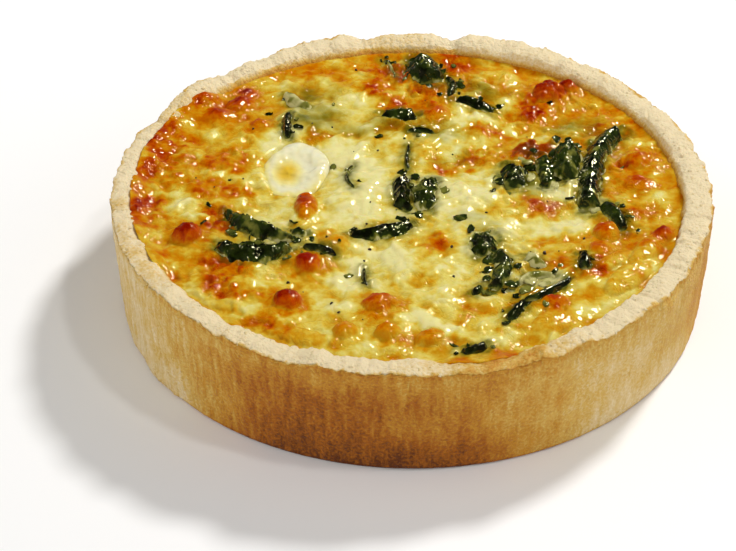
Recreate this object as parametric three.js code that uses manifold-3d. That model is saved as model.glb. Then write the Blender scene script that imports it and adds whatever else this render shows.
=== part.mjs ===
// An individual quiche: a straight-sided shortcrust case, a baked custard under browned melted cheese,
// wilted spinach leaves half sunk in it and one pale round of soft cheese.
// Millimetres, +Z up. The origin is the middle of the flat base, and -Y is the side that faces the viewer.
import * as THREE from "three";
import { mergeVertices } from "three/addons/utils/BufferGeometryUtils.js";
import Module from "manifold-3d";

const wasm = await Module();
wasm.setup();

// The pastry case
const RIM_RADIUS = 60;
const BASE_RADIUS = 58.6;
const CASE_HEIGHT = 23.7;
const BASE_EDGE = 0.8;
const FLOOR_THICKNESS = 4.5;
const INNER_RIM_RADIUS = 54.2;
const INNER_FLOOR_RADIUS = 52.4;
const RIM_SHOULDER = 0.5;
const RIM_CREST = 2.6;
// The heights of the rings of corners up the wall, as shares of the case's height
const WALL_SHARES = [0.12, 0.36, 0.6, 0.82];

// The custard. It rises a little from its middle to the pastry, and dips again where it meets it.
const CUSTARD_LEVEL = 21.4;
const CUSTARD_RISE = 0.5;
const CUSTARD_EDGE = 21.9;
const RINGS = 22;
const STEPS_ROUND = 6 * RINGS;
const GAP = 0.3;
const NUB_SIDES = 8;
const NUB_LEVELS = 4;
const NUB_SINK = 0.2;

// The leaves
const LEAF_THICKNESS = 0.7;
const LEAF_EDGE_SINK = 0.55;
const LEAF_STEP = 2.6;
const LEAF_TIP_WIDTH = 0.3;
const LEAF_RUFFLE = 0.05;
const WIDE_LEAF = 3;
const TRENCH_REACH = 6;

// The cheese round, longer from front to back and with its dish off its middle, and its section from the
// middle of its underside past the lip to the dish: share of its radius, height above the custard
const ROUND_AT = [-23.5, 9.9];
const ROUND_RADIUS = 7;
const ROUND_STRETCH = 1.34;
const ROUND_DISH = [-1.4, -1.4];
const ROUND_STEPS = 28;
const ROUND_SECTION = [
  [0, -1.1],
  [0.9, -1],
  [1, -0.1],
  [0.92, 0.95],
  [0.7, 1.2],
  [0.44, 0.7],
  [0, 0.5],
];

const TURN = 2 * Math.PI;

// Waves that run round the case in millimetres, and round the cheese as a share of its radius: times
// round, size, phase
const RIM_WAVES = [
  [2, 0.22, 0.6],
  [5, 0.2, 2.1],
  [9, 0.18, 4.4],
  [17, 0.16, 1.3],
  [29, 0.2, 5.2],
  [43, 0.16, 0.2],
];
const WALL_WAVES = [
  [3, 0.2, 3.1],
  [7, 0.16, 0.8],
  [13, 0.14, 2.6],
  [26, 0.12, 4.9],
  [41, 0.1, 1.7],
];
const ROUND_WAVES = [
  [2, 0.06, -0.5],
  [5, 0.03, 0],
];

// Places where the trimmed edge has crumbled or, below 0, stands proud: degrees round from +X, half width
// in degrees, drop, and how far the outline is pushed in there
const RIM_BREAKS = [
  { at: 50, half: 6, drop: -0.4, inward: -0.4 },
  { at: 53, half: 1.6, drop: 0.9, inward: 0.5 },
  { at: 74, half: 5, drop: -0.4, inward: -0.4 },
  { at: 82, half: 2.2, drop: 1, inward: 0.4 },
  { at: 88, half: 2, drop: -0.3, inward: -0.2 },
  { at: 101, half: 3, drop: 0.5, inward: 0.2 },
  { at: 110, half: 6, drop: -0.5, inward: -0.5 },
  { at: 131, half: 4, drop: 0.7, inward: 0.9 },
  { at: 141, half: 4, drop: -0.3, inward: -0.5 },
  { at: 154, half: 4, drop: 0.6, inward: 0.8 },
  { at: 187, half: 3, drop: 0.5, inward: 0.3 },
  { at: 213, half: 3, drop: 0.7, inward: 0.3 },
  { at: 231, half: 3, drop: 0.5, inward: 0.2 },
  { at: 246, half: 4, drop: 0.6, inward: 0.3 },
  { at: 277, half: 3, drop: 0.9, inward: 0.2 },
  { at: 290, half: 6, drop: 0.7, inward: 0.3 },
  { at: 303, half: 5, drop: 0.2, inward: 0.6 },
  { at: 322, half: 10, drop: 0.1, inward: 0.8 },
  { at: 338, half: 3, drop: 0.5, inward: 0.3 },
];

// Radius of the rim's inner edge at its top: degrees round, radius
const RIM_INSIDE = [
  [0, 55],
  [20, 55.5],
  [45, 55.9],
  [90, 56.1],
  [112, 56.3],
  [135, 56.2],
  [152, 57],
  [165, 56.8],
  [180, 56.1],
  [198, 56.2],
  [214, 55.8],
  [234, 55.5],
  [243, 54.9],
  [250, 54.3],
  [256.5, 55.6],
  [261, 54.8],
  [266, 55.7],
  [271, 54.3],
  [277, 55.9],
  [290, 56.4],
  [298, 55.3],
  [306, 54.4],
  [318, 54.5],
  [332, 54.4],
  [346, 54.8],
];

// Long swells of the custard's top: waves along x and y per millimetre, height, phase
const SWELLS = [
  [0.11, 0.05, 0.32, 0.4],
  [-0.07, 0.16, 0.28, 2.2],
  [0.21, -0.13, 0.24, 4.1],
  [0.05, 0.31, 0.2, 1.1],
  [0.37, 0.17, 0.16, 5.3],
  [-0.29, 0.36, 0.14, 3.3],
];

// The browned nubs and melted lumps of cheese that read one by one: place, half width along their
// heading, half width across it, height, heading in degrees from +X
const NUBS = [
  { at: [-43.8, -14.6], along: 2.7, across: 2.7, height: 2.7, heading: 0 },
  { at: [-21.1, -3.4], along: 3.9, across: 2.1, height: 3.4, heading: 92 },
  { at: [-19.8, -23.4], along: 2.6, across: 2.4, height: 2.6, heading: 110 },
  { at: [-23.3, -35.4], along: 2.7, across: 2.7, height: 2.5, heading: 0 },
  { at: [-5.8, -36.2], along: 3.4, across: 3, height: 2.8, heading: 35 },
  { at: [-12.2, -45], along: 2.4, across: 2.2, height: 2.3, heading: 60 },
  { at: [-4.2, -44.6], along: 2.2, across: 1.9, height: 1.9, heading: 20 },
  { at: [3.6, -45.8], along: 2.6, across: 2, height: 1.9, heading: 30 },
  { at: [-14.9, -16.6], along: 2.9, across: 2.6, height: 2, heading: 0 },
  { at: [27.4, -35.6], along: 2.6, across: 1.9, height: 1.9, heading: 25 },
  { at: [38.4, -11.8], along: 3, across: 2.4, height: 2.4, heading: 100 },
  { at: [37.2, -17.6], along: 2.8, across: 2.4, height: 2, heading: 80 },
  { at: [49.4, -13.2], along: 2.4, across: 1.9, height: 2.4, heading: 55 },
  { at: [46.4, -17.4], along: 6, across: 1.9, height: 1.6, heading: 56 },
  { at: [29, 38.4], along: 3.6, across: 3, height: 3.4, heading: 70 },
  { at: [33.2, 40.2], along: 2.1, across: 1.9, height: 3, heading: 0 },
  { at: [5.4, 29.4], along: 3.2, across: 2.7, height: 2.2, heading: 75 },
  { at: [9.2, 47.4], along: 2.4, across: 2, height: 2.1, heading: 90 },
  { at: [-36, 34], along: 3.1, across: 2.8, height: 2.5, heading: 60 },
  { at: [-34.8, 38.2], along: 1.8, across: 1.7, height: 1.9, heading: 0 },
  { at: [-40.4, 29.4], along: 3.2, across: 2.3, height: 1.9, heading: 20 },
  { at: [-31.6, 25.6], along: 2.3, across: 2, height: 1.8, heading: 90 },
  { at: [46.6, 13], along: 2.9, across: 2.5, height: 2, heading: 40 },
  { at: [46, 5.4], along: 3, across: 2.7, height: 1.8, heading: 0 },
  { at: [-20.2, -46.4], along: 4.6, across: 2.4, height: 1.5, heading: -20 },
  { at: [27, -41.6], along: 4.6, across: 2.8, height: 1.6, heading: 30 },
  { at: [42.6, -26.9], along: 6.4, across: 2.4, height: 1.6, heading: 52 },
];

// Patches where the cheese has browned in a crowd of small blisters: place, radius
const BLISTERED_PATCHES = [
  { at: [-43.6, 35.4], radius: 6.5 },
  { at: [-49, 21], radius: 6 },
  { at: [-49, 9], radius: 6 },
  { at: [-38, 13.6], radius: 5.5 },
  { at: [-39, 1.4], radius: 6.5 },
  { at: [-51.4, -6], radius: 4 },
  { at: [-36, -27.4], radius: 5 },
  { at: [-35.4, -35.2], radius: 5 },
  { at: [-1.6, -48.6], radius: 4.5 },
  { at: [7, -16], radius: 5 },
  { at: [24.6, -15], radius: 5 },
  { at: [13.4, 25.6], radius: 5.5 },
];
const BLISTER_HEIGHT = 1.3;

// The spinach. Each piece lies along a curve from one end past a bend to the other end.
const LEAVES = [
  { name: "back_clump", from: [1.2, 51.4], bend: [2.4, 47], to: [4.6, 42.2], width: 6.4, lift: 2.6 },
  { name: "back_tail", from: [7.2, 43.8], bend: [10.4, 42], to: [7.5, 35.4], width: 2.2, lift: 0.8 },
  { name: "back_stalk", from: [-6.6, 52.2], bend: [-4, 49.8], to: [-3.6, 43], width: 0.9, lift: 0.6 },
  { name: "back_right", from: [8.8, 34.6], bend: [13.6, 35.4], to: [17.4, 31.8], width: 3.4, lift: 1 },
  { name: "back_centre", from: [-6.4, 30], bend: [-2.4, 28], to: [1.2, 29.6], width: 4.4, lift: 1.3 },
  { name: "centre_shred", from: [-1.4, 22.8], bend: [2, 24.4], to: [5.2, 22.8], width: 1.8, lift: 0.6 },
  { name: "left_fold", from: [-26.8, 38.6], bend: [-25.8, 34.8], to: [-21, 31.2], width: 3, lift: 1.3 },
  { name: "left_upright", from: [-25.2, 29.4], bend: [-26.8, 25], to: [-25.4, 20.6], width: 2.3, lift: 1.3 },
  { name: "ring_shred", from: [-11.4, 12.2], bend: [-15, 7.2], to: [-11, 1.8], width: 1.1, lift: 0.6 },
  { name: "centre_upright", from: [-0.4, 18.8], bend: [-1.2, 14], to: [-0.6, 8.6], width: 1.4, lift: 0.6 },
  { name: "centre_dark", from: [-0.6, 7.2], bend: [-4, 1.8], to: [-0.2, -5], width: 3.6, lift: 1.2 },
  { name: "centre_glossy", from: [4.6, 5.4], bend: [1.8, 2.2], to: [3, -4.8], width: 4.6, lift: 1.8 },
  { name: "centre_blade", from: [-12.4, -13], bend: [-6.4, -13.8], to: [0.8, -8.8], width: 4.4, lift: 1.1 },
  { name: "left_upper", from: [-36.8, -5.6], bend: [-34, -12.6], to: [-22.4, -16.2], width: 4.6, lift: 1.5 },
  { name: "left_lower", from: [-38, -17.4], bend: [-33.6, -24], to: [-22.8, -18.4], width: 5.2, lift: 1.3 },
  { name: "left_small", from: [-23.4, -12], bend: [-22, -13.4], to: [-20, -14.4], width: 2.6, lift: 0.8 },
  { name: "left_tip", from: [-21.2, -18.6], bend: [-18.6, -18.4], to: [-14, -20], width: 2, lift: 0.9 },
  { name: "front_shred", from: [-8.8, -22.6], bend: [-9.6, -26], to: [-8, -30.2], width: 1.3, lift: 0.7 },
  { name: "right_roll", from: [43.4, 24], bend: [35.4, 20], to: [34.5, -3.6], width: 3.2, lift: 2.1 },
  { name: "right_clump", from: [31, 17.2], bend: [33, 12.4], to: [30.4, 7], width: 4.8, lift: 2.6 },
  { name: "right_link", from: [26, 14], bend: [28.6, 9], to: [26.7, 3.2], width: 3, lift: 1.2 },
  { name: "right_inner", from: [19.6, 9.8], bend: [20, 6.4], to: [22, 2.8], width: 5.4, lift: 1.8 },
  { name: "right_blade", from: [38, -1.6], bend: [40.6, -5], to: [41.8, -11.2], width: 3.8, lift: 1.4 },
  { name: "fore_top", from: [15.8, -14.4], bend: [13, -17], to: [14.8, -20.6], width: 4.6, lift: 1.4 },
  { name: "fore_long", from: [17.4, -20.2], bend: [18.6, -25.4], to: [15.2, -31.6], width: 3.6, lift: 1.2 },
  { name: "fore_small", from: [11.4, -32.6], bend: [12.8, -32], to: [13.8, -29.6], width: 2.2, lift: 0.8 },
  { name: "fore_clump", from: [22, -20.4], bend: [24.4, -21.4], to: [24.6, -24.8], width: 3, lift: 1.3 },
  { name: "fore_dark", from: [33.2, -20], bend: [34.4, -22], to: [33, -25.4], width: 2.8, lift: 1.3 },
  { name: "fore_loop", from: [20.6, -30.4], bend: [23, -25.6], to: [28.2, -27.6], width: 2.2, lift: 0.9 },
  { name: "fore_strip", from: [30.8, -27.4], bend: [28, -33], to: [20.8, -36], width: 2.1, lift: 1 },
  { name: "fore_end", from: [21.4, -38], bend: [20, -37.4], to: [18.4, -41.6], width: 2.8, lift: 0.9 },
  { name: "rim_scrap", from: [8.8, -50], bend: [12, -50.6], to: [14.8, -48.2], width: 2.6, lift: 1.2 },
];

// The sum of a list of waves at an angle round the case
function waves(list, angle) {
  return list.reduce((sum, [times, size, phase]) => sum + size * Math.sin(times * angle + phase), 0);
}

// 1 in the middle of a break in the rim, falling smoothly to 0 at its sides
function breakShare(rimBreak, angle) {
  const turns = (angle - THREE.MathUtils.degToRad(rimBreak.at)) / TURN;
  const degreesOff = Math.abs(turns - Math.round(turns)) * 360;
  return Math.exp(-((degreesOff / rimBreak.half) ** 2));
}

function breakSum(key, angle) {
  return RIM_BREAKS.reduce((sum, rimBreak) => sum + rimBreak[key] * breakShare(rimBreak, angle), 0);
}

// A table's value at an angle, straight between its rows and on past the last one to the first
function along(table, angle) {
  const degrees = THREE.MathUtils.euclideanModulo(THREE.MathUtils.radToDeg(angle), 360);
  const rows = [...table, [table[0][0] + 360, table[0][1]]];
  const after = rows.findIndex(([at]) => at > degrees);
  const [[low, first], [high, second]] = [rows[after - 1], rows[after]];
  return THREE.MathUtils.mapLinear(degrees, low, high, first, second);
}

// The pastry's section at one angle, from the middle of the base round the outside and over the rim to
// the middle of the inner floor, as [radius, height] pairs
function caseSection(angle) {
  const top = CASE_HEIGHT + waves(RIM_WAVES, angle) - breakSum("drop", angle);
  const push = waves(WALL_WAVES, angle);
  const bulgeAt = (share) => push * (0.5 + 0.5 * Math.sin(3.1 * share + 2 * angle));
  const wall = WALL_SHARES.map((share) => {
    return [THREE.MathUtils.lerp(BASE_RADIUS, RIM_RADIUS, share) + bulgeAt(share), share * CASE_HEIGHT];
  });
  const rim = RIM_RADIUS + bulgeAt(1) - breakSum("inward", angle);
  return [
    [BASE_RADIUS - BASE_EDGE, 0],
    [BASE_RADIUS - 0.3 * BASE_EDGE, 0.3 * BASE_EDGE],
    ...wall,
    [rim, top - RIM_SHOULDER],
    [rim - 0.7 * RIM_SHOULDER, top],
    [rim - RIM_CREST, top + 0.15 * Math.sin(23 * angle)],
    [along(RIM_INSIDE, angle), top - 0.7 * RIM_SHOULDER],
    [INNER_RIM_RADIUS, CUSTARD_EDGE],
    [INNER_FLOOR_RADIUS, FLOOR_THICKNESS],
  ];
}

// A closed geometry from shared corners and triangles
function geometryFrom(corners, triangles) {
  return new THREE.BufferGeometry()
    .setAttribute("position", new THREE.Float32BufferAttribute(corners.flat(), 3))
    .setIndex(triangles.flat());
}

function solidFrom(geometry) {
  return new wasm.Manifold(
    new wasm.Mesh({
      numProp: 3,
      vertProperties: new Float32Array(geometry.attributes.position.array),
      triVerts: new Uint32Array(geometry.index.array),
    }),
  );
}

function geometryOf(solid) {
  const mesh = solid.getMesh();
  return new THREE.BufferGeometry()
    .setAttribute("position", new THREE.BufferAttribute(mesh.vertProperties, 3))
    .setIndex(new THREE.BufferAttribute(mesh.triVerts, 1));
}

// The triangles between two rings of equal length, the first ring below or outside the second
function band(first, second, count) {
  return Array.from({ length: count }, (_, i) => {
    const next = (i + 1) % count;
    return [
      [first + i, first + next, second + next],
      [first + i, second + next, second + i],
    ];
  }).flat();
}

// The triangles from a ring to one middle corner
function fan(ring, middle, count) {
  return Array.from({ length: count }, (_, i) => [ring + i, ring + ((i + 1) % count), middle]);
}

function pastryCase() {
  const angles = Array.from({ length: STEPS_ROUND }, (_, i) => (TURN * i) / STEPS_ROUND);
  const sections = angles.map(caseSection);
  const levels = sections[0].length;
  const corners = [];
  const triangles = [];
  for (let level = 0; level < levels; level++) {
    angles.forEach((angle, i) => {
      const [radius, height] = sections[i][level];
      corners.push([radius * Math.cos(angle), radius * Math.sin(angle), height]);
    });
    if (level > 0) triangles.push(...band((level - 1) * STEPS_ROUND, level * STEPS_ROUND, STEPS_ROUND));
  }
  const under = corners.push([0, 0, 0]) - 1;
  const inside = corners.push([0, 0, FLOOR_THICKNESS]) - 1;
  triangles.push(...fan(0, under, STEPS_ROUND).map(([a, b, c]) => [b, a, c]));
  triangles.push(...fan((levels - 1) * STEPS_ROUND, inside, STEPS_ROUND));
  return geometryFrom(corners, triangles);
}

// The custard's top before nubs and leaves: nearly flat, sunk a little in the middle, with long swells
function custardHeight(x, y) {
  const out = Math.hypot(x, y) / INNER_RIM_RADIUS;
  const swells = SWELLS.map(([perX, perY, size, phase]) => size * Math.sin(perX * x + perY * y + phase));
  const swell = swells.reduce((sum, height) => sum + height);
  return CUSTARD_LEVEL + CUSTARD_RISE * out ** 2 * (1 - out ** 4) + swell * (1 - 0.6 * out ** 6);
}

// How far inside a blistered patch a place is, 1 in its middle
function blisterShare(x, y) {
  const reaches = BLISTERED_PATCHES.map(({ at, radius }) => Math.hypot(x - at[0], y - at[1]) / radius);
  return Math.exp(-(Math.min(...reaches) ** 2));
}

// A fixed share from 0 to 1 for the n-th corner, so that the blisters are uneven but always the same
function uneven(n) {
  const value = Math.sin(12.9898 * (n + 1)) * 43758.5453;
  return value - Math.floor(value);
}

// The custard and its melted cheese as one disc: ring k has 6k corners, so the triangles are all alike
function custard() {
  const edge = INNER_RIM_RADIUS - GAP;
  const foot = INNER_FLOOR_RADIUS - GAP;
  const corners = [[0, 0, custardHeight(0, 0)]];
  const triangles = [];
  const firstOf = (ring) => (ring === 0 ? 0 : 1 + 3 * ring * (ring - 1));
  for (let ring = 1; ring <= RINGS; ring++) {
    const count = 6 * ring;
    for (let i = 0; i < count; i++) {
      const angle = (TURN * i) / count;
      const radius = (edge * ring) / RINGS;
      const [x, y] = [radius * Math.cos(angle), radius * Math.sin(angle)];
      const blister = BLISTER_HEIGHT * blisterShare(x, y) * uneven(corners.length);
      corners.push([x, y, ring === RINGS ? CUSTARD_EDGE : custardHeight(x, y) + blister]);
    }
    const inner = (i) => (ring === 1 ? 0 : firstOf(ring - 1) + (i % (6 * (ring - 1))));
    const outer = (i) => firstOf(ring) + (i % count);
    for (let sector = 0; sector < 6; sector++) {
      for (let i = 0; i < ring; i++) {
        const out = sector * ring + i;
        const into = sector * (ring - 1) + i;
        triangles.push([outer(out), outer(out + 1), inner(into)]);
        if (i < ring - 1) triangles.push([inner(into), outer(out + 1), inner(into + 1)]);
      }
    }
  }
  const rimStart = firstOf(RINGS);
  const footStart = corners.length;
  for (let i = 0; i < STEPS_ROUND; i++) {
    const angle = (TURN * i) / STEPS_ROUND;
    corners.push([foot * Math.cos(angle), foot * Math.sin(angle), FLOOR_THICKNESS + GAP]);
  }
  const middle = corners.push([0, 0, FLOOR_THICKNESS + GAP]) - 1;
  triangles.push(...band(footStart, rimStart, STEPS_ROUND));
  triangles.push(...fan(footStart, middle, STEPS_ROUND).map(([a, b, c]) => [b, a, c]));
  return geometryFrom(corners, triangles);
}

// A browned nub: a squashed ball whose middle lies just under the custard's top
function nub({ at, along, across, height, heading }) {
  const ball = new THREE.SphereGeometry(1, NUB_SIDES, NUB_LEVELS).rotateX(Math.PI / 2);
  const sink = NUB_SINK * height;
  ball.scale(along, across, height + sink);
  ball.rotateZ(THREE.MathUtils.degToRad(heading));
  ball.translate(at[0], at[1], custardHeight(...at) - sink);
  return weld(ball);
}

// Shared corners for one of the three.js geometries, without the triangles that collapse at a pole
function weld(geometry) {
  geometry.deleteAttribute("normal");
  geometry.deleteAttribute("uv");
  const merged = mergeVertices(geometry, 1e-4);
  const kept = [];
  for (let i = 0; i < merged.index.count; i += 3) {
    const [a, b, c] = merged.index.array.slice(i, i + 3);
    if (a !== b && b !== c && c !== a) kept.push(a, b, c);
  }
  return merged.setIndex(kept);
}

// A leaf's outline as a grid of places, in rows from one end to the other and columns from side to side.
// It is widest in the middle, and grow widens it all round.
function leafGrid({ from, bend, to, width }, columns, grow = 0) {
  const path = new THREE.QuadraticBezierCurve(
    new THREE.Vector2(...from),
    new THREE.Vector2(...bend),
    new THREE.Vector2(...to),
  );
  const length = path.getLength();
  const rows = Math.max(3, Math.round(length / LEAF_STEP)) + 1;
  const places = [];
  for (let i = 0; i < rows; i++) {
    const u = i / (rows - 1);
    const heading = path.getTangentAt(u);
    const middle = path.getPointAt(u).addScaledVector(heading, grow * (2 * u - 1));
    const taper = LEAF_TIP_WIDTH + (1 - LEAF_TIP_WIDTH) * Math.sin(Math.PI * u) ** 0.7;
    for (let j = 0; j < columns; j++) {
      const v = (2 * j) / (columns - 1) - 1;
      const side = v * (0.5 * width * taper + grow);
      const [x, y] = [middle.x - heading.y * side, middle.y + heading.x * side];
      places.push({ x, y, run: u * length, v, taper });
    }
  }
  return { places, rows, columns };
}

// A closed slab over a grid of places, whose two faces are split into triangles alike
function slab({ places, rows, columns }, topOf, bottomOf) {
  const under = places.length;
  const face = (heightOf) => places.map((place) => [place.x, place.y, heightOf(place)]);
  const corners = [...face(topOf), ...face(bottomOf)];
  const triangles = [];
  for (let i = 0; i < rows - 1; i++) {
    for (let j = 0; j < columns - 1; j++) {
      const a = i * columns + j;
      const b = a + columns;
      triangles.push([a, b, b + 1], [a, b + 1, a + 1]);
      const c = a + under;
      const d = b + under;
      triangles.push([c, d + 1, d], [c, c + 1, d + 1]);
    }
  }
  const outline = [];
  for (let i = 0; i < rows - 1; i++) outline.push(i * columns);
  for (let j = 0; j < columns - 1; j++) outline.push((rows - 1) * columns + j);
  for (let i = rows - 1; i > 0; i--) outline.push(i * columns + columns - 1);
  for (let j = columns - 1; j > 0; j--) outline.push(j);
  outline.forEach((a, i) => {
    const b = outline[(i + 1) % outline.length];
    triangles.push([a, a + under, b + under], [a, b + under, b]);
  });
  return geometryFrom(corners, triangles);
}

// A leaf: a thin strip, arched from side to side with its edges sunk in the custard, and wavy
function leaf(one) {
  const columns = one.width > WIDE_LEAF ? 5 : 3;
  const middleOf = ({ x, y, run, v, taper }) => {
    const ruffle = LEAF_RUFFLE * one.width * Math.sin(0.9 * run + 2.3 * v + one.from[0]) * (1 - 0.5 * v * v);
    return custardHeight(x, y) + one.lift * taper * (1 - v * v) - LEAF_EDGE_SINK * v * v + ruffle;
  };
  return slab(
    leafGrid(one, columns),
    (place) => middleOf(place) + 0.5 * LEAF_THICKNESS,
    (place) => middleOf(place) - 0.5 * LEAF_THICKNESS,
  );
}

// The trench that is cut for a leaf, clear of its edges and open above
function leafTrench(one) {
  return slab(
    leafGrid(one, 2, GAP),
    ({ x, y }) => custardHeight(x, y) + TRENCH_REACH,
    ({ x, y }) => custardHeight(x, y) - LEAF_EDGE_SINK - 0.5 * LEAF_THICKNESS - LEAF_RUFFLE * one.width - GAP,
  );
}

// The round of soft cheese: a disc with a raised lip, melted out of true. grow swells it all round.
function cheeseRound(grow = 0) {
  const section = ROUND_SECTION.map(
    ([share, height]) => new THREE.Vector2(share * (ROUND_RADIUS + grow), height + Math.sign(height) * grow),
  );
  const disc = weld(new THREE.LatheGeometry(section, ROUND_STEPS).rotateX(Math.PI / 2));
  const position = disc.attributes.position;
  for (let i = 0; i < position.count; i++) {
    const [x, y] = [position.getX(i), position.getY(i)];
    const melt = 1 + waves(ROUND_WAVES, Math.atan2(y, x));
    const inwards = 1 - Math.min(Math.hypot(x, y) / ROUND_RADIUS, 1);
    position.setX(i, x * melt + ROUND_DISH[0] * inwards);
    position.setY(i, ROUND_STRETCH * y * melt + ROUND_DISH[1] * inwards);
  }
  return disc.translate(...ROUND_AT, custardHeight(...ROUND_AT));
}

function piece(name, geometry, material) {
  geometry.computeVertexNormals();
  const mesh = new THREE.Mesh(geometry, material);
  mesh.name = name;
  return mesh;
}

const pastry = new THREE.MeshStandardMaterial({ color: 0xd8ab63, roughness: 0.85, metalness: 0 });
const baked = new THREE.MeshStandardMaterial({ color: 0xdca63c, roughness: 0.3, metalness: 0 });
const spinach = new THREE.MeshStandardMaterial({ color: 0x24361a, roughness: 0.25, metalness: 0 });
const softCheese = new THREE.MeshStandardMaterial({ color: 0xeee3b4, roughness: 0.3, metalness: 0 });

// The custard with every nub joined on, then the sockets cut for what lies in it
let topping = solidFrom(custard());
for (const one of NUBS) topping = topping.add(solidFrom(nub(one)));
for (const one of LEAVES) topping = topping.subtract(solidFrom(leafTrench(one)));
topping = topping.subtract(solidFrom(cheeseRound(GAP)));
// The sockets leave a few loose scraps, and only the largest body is kept
const [filling] = topping.decompose().sort((a, b) => b.volume() - a.volume());

const quiche = new THREE.Group();
quiche.add(
  piece("pastry_case", pastryCase(), pastry),
  piece("custard_filling", geometryOf(filling), baked),
  piece("cheese_round", cheeseRound(), softCheese),
  ...LEAVES.map((one) => piece(`spinach_${one.name}`, leaf(one), spinach)),
);

export default quiche;
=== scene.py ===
"""Dresses the solid model of a small quiche: crumbly shortcrust case, glossy baked filling with browned
blisters and beads, a melted round of soft cheese, wilted spinach and ground pepper, on a white sweep.

Shapes are worked out in millimetres as whole numpy arrays and put into meshes in metres. The last number
that noise, layered, cells and strands are given is a seed: it picks one pattern and means nothing else."""

import math
from itertools import product

import bpy
import numpy as np
from bpy.props import FloatProperty, FloatVectorProperty, IntProperty, PointerProperty
from mathutils import Matrix, Vector


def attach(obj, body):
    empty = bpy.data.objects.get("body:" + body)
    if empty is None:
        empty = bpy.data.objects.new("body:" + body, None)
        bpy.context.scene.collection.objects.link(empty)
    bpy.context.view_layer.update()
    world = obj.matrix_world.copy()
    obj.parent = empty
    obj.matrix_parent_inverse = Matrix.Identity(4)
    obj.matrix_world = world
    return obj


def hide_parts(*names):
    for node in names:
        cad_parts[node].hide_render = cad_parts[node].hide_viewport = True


bl_info = {
    "name": "Individual quiche",
    "version": (1, 0, 0),
    "blender": (4, 5, 0),
    "location": "View3D > Sidebar > Quiche",
    "description": "Dresses the solid model of a small baked quiche",
    "category": "Add Mesh",
}

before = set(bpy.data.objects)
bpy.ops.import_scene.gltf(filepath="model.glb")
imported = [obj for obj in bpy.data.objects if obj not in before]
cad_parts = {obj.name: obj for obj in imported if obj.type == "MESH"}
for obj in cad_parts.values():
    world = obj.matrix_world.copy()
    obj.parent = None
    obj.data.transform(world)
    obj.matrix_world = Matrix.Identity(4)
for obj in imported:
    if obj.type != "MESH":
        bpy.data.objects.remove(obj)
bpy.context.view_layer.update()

MM = 0.001
TURN = 2 * math.pi
BODY = "root"

# Radius of the circle on which the noise round the pastry is read, and of the rim's rounded outer edge
NOISE_RING = 60
LIP = 0.35

# Rows of the pastry's section: foot, wall, trimmed top and inside
CASE_ROWS = (4, 40, 16, 10)

# The pastry's crumb along the rim, in millimetres: size across and depth of the chips in its height, of the
# finer crumb there, of the chips in its edge, and of the finer crumb there
CHIP_SIZE, CHIP_DEPTH = 5.5, 0.32
TOP_CRUMB_SIZE, TOP_CRUMB_DEPTH = 2.2, 0.3
NOTCH_SIZE, NOTCH_DEPTH = 3.2, 0.42
EDGE_CRUMB_SIZE, EDGE_CRUMB_DEPTH = 1.5, 0.36

# How large the filling's patterns are, in millimetres: the slow and the quick wander of every outline in it,
# curds, blisters, fine blisters, wrinkles, lively patches, and slow and fine mottling of its colour
WANDER_SIZE, JITTER_SIZE = 5, 1.6
CURD_SIZE, BLISTER_SIZE, FINE_BLISTER_SIZE = 4.4, 1.9, 1.15
WRINKLE_SIZE, LIVELY_SIZE = 1.7, 8
MOTTLE_SIZE, FINE_MOTTLE_SIZE = 6.5, 1.7

# How far curds, shreds and creamy pools stand up, as factors in millimetres
CURD_RISE, SHRED_RISE, CREAMY_RISE = 0.55, 0.8, 0.7

# Shreds of melted cheese laid at random, and how far from the middle they reach
SHREDS = 330
SHREDS_REACH = 52

# Specks of pepper strewn at random besides those of the table, and how far from the middle they reach
SPECKS = 26
SPECKS_REACH = 44

# From the middle of the base to each lamp, in metres, and the share of the walls' glare that is taken off
LAMP_DISTANCE = 1.1
GLARE_CUT = 0.93

# Waves that run round the pastry: times round, size in millimetres, phase
RIM_WAVES = ((2, 0.22, 0.6), (5, 0.2, 2.1), (9, 0.18, 4.4), (17, 0.16, 1.3), (29, 0.2, 5.2), (43, 0.16, 0.2))
WALL_WAVES = ((3, 0.2, 3.1), (7, 0.16, 0.8), (13, 0.14, 2.6), (26, 0.12, 4.9), (41, 0.1, 1.7))

# Places where the rim has crumbled or, below 0, stands proud: degrees round from +X, half width in
# degrees, drop, push inwards
RIM_BREAKS = (
    (50, 6, -0.4, -0.4), (53, 1.6, 0.9, 0.5), (74, 5, -0.4, -0.4), (82, 2.2, 1.0, 0.4), (88, 2, -0.3, -0.2),
    (101, 3, 0.5, 0.2), (110, 6, -0.5, -0.5), (131, 4, 0.7, 0.9), (141, 4, -0.3, -0.5), (154, 4, 0.6, 0.8),
    (187, 3, 0.5, 0.3), (213, 3, 0.7, 0.3), (231, 3, 0.5, 0.2), (246, 4, 0.6, 0.3), (277, 3, 0.9, 0.2),
    (290, 6, 0.7, 0.3), (303, 5, 0.2, 0.6), (322, 10, 0.1, 0.8), (338, 3, 0.5, 0.3),
)

# Radius of the rim's inner edge: degrees round, radius
RIM_INSIDE = (
    (0, 55.0), (20, 55.5), (45, 55.9), (90, 56.1), (112, 56.3), (135, 56.2), (152, 57.0), (165, 56.8),
    (180, 56.1), (198, 56.2), (214, 55.8), (234, 55.5), (243, 54.9), (250, 54.3), (256.5, 55.6),
    (261, 54.8), (266, 55.7), (271, 54.3), (277, 55.9), (290, 56.4), (298, 55.3), (306, 54.4), (318, 54.5),
    (332, 54.4), (346, 54.8),
)

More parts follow.
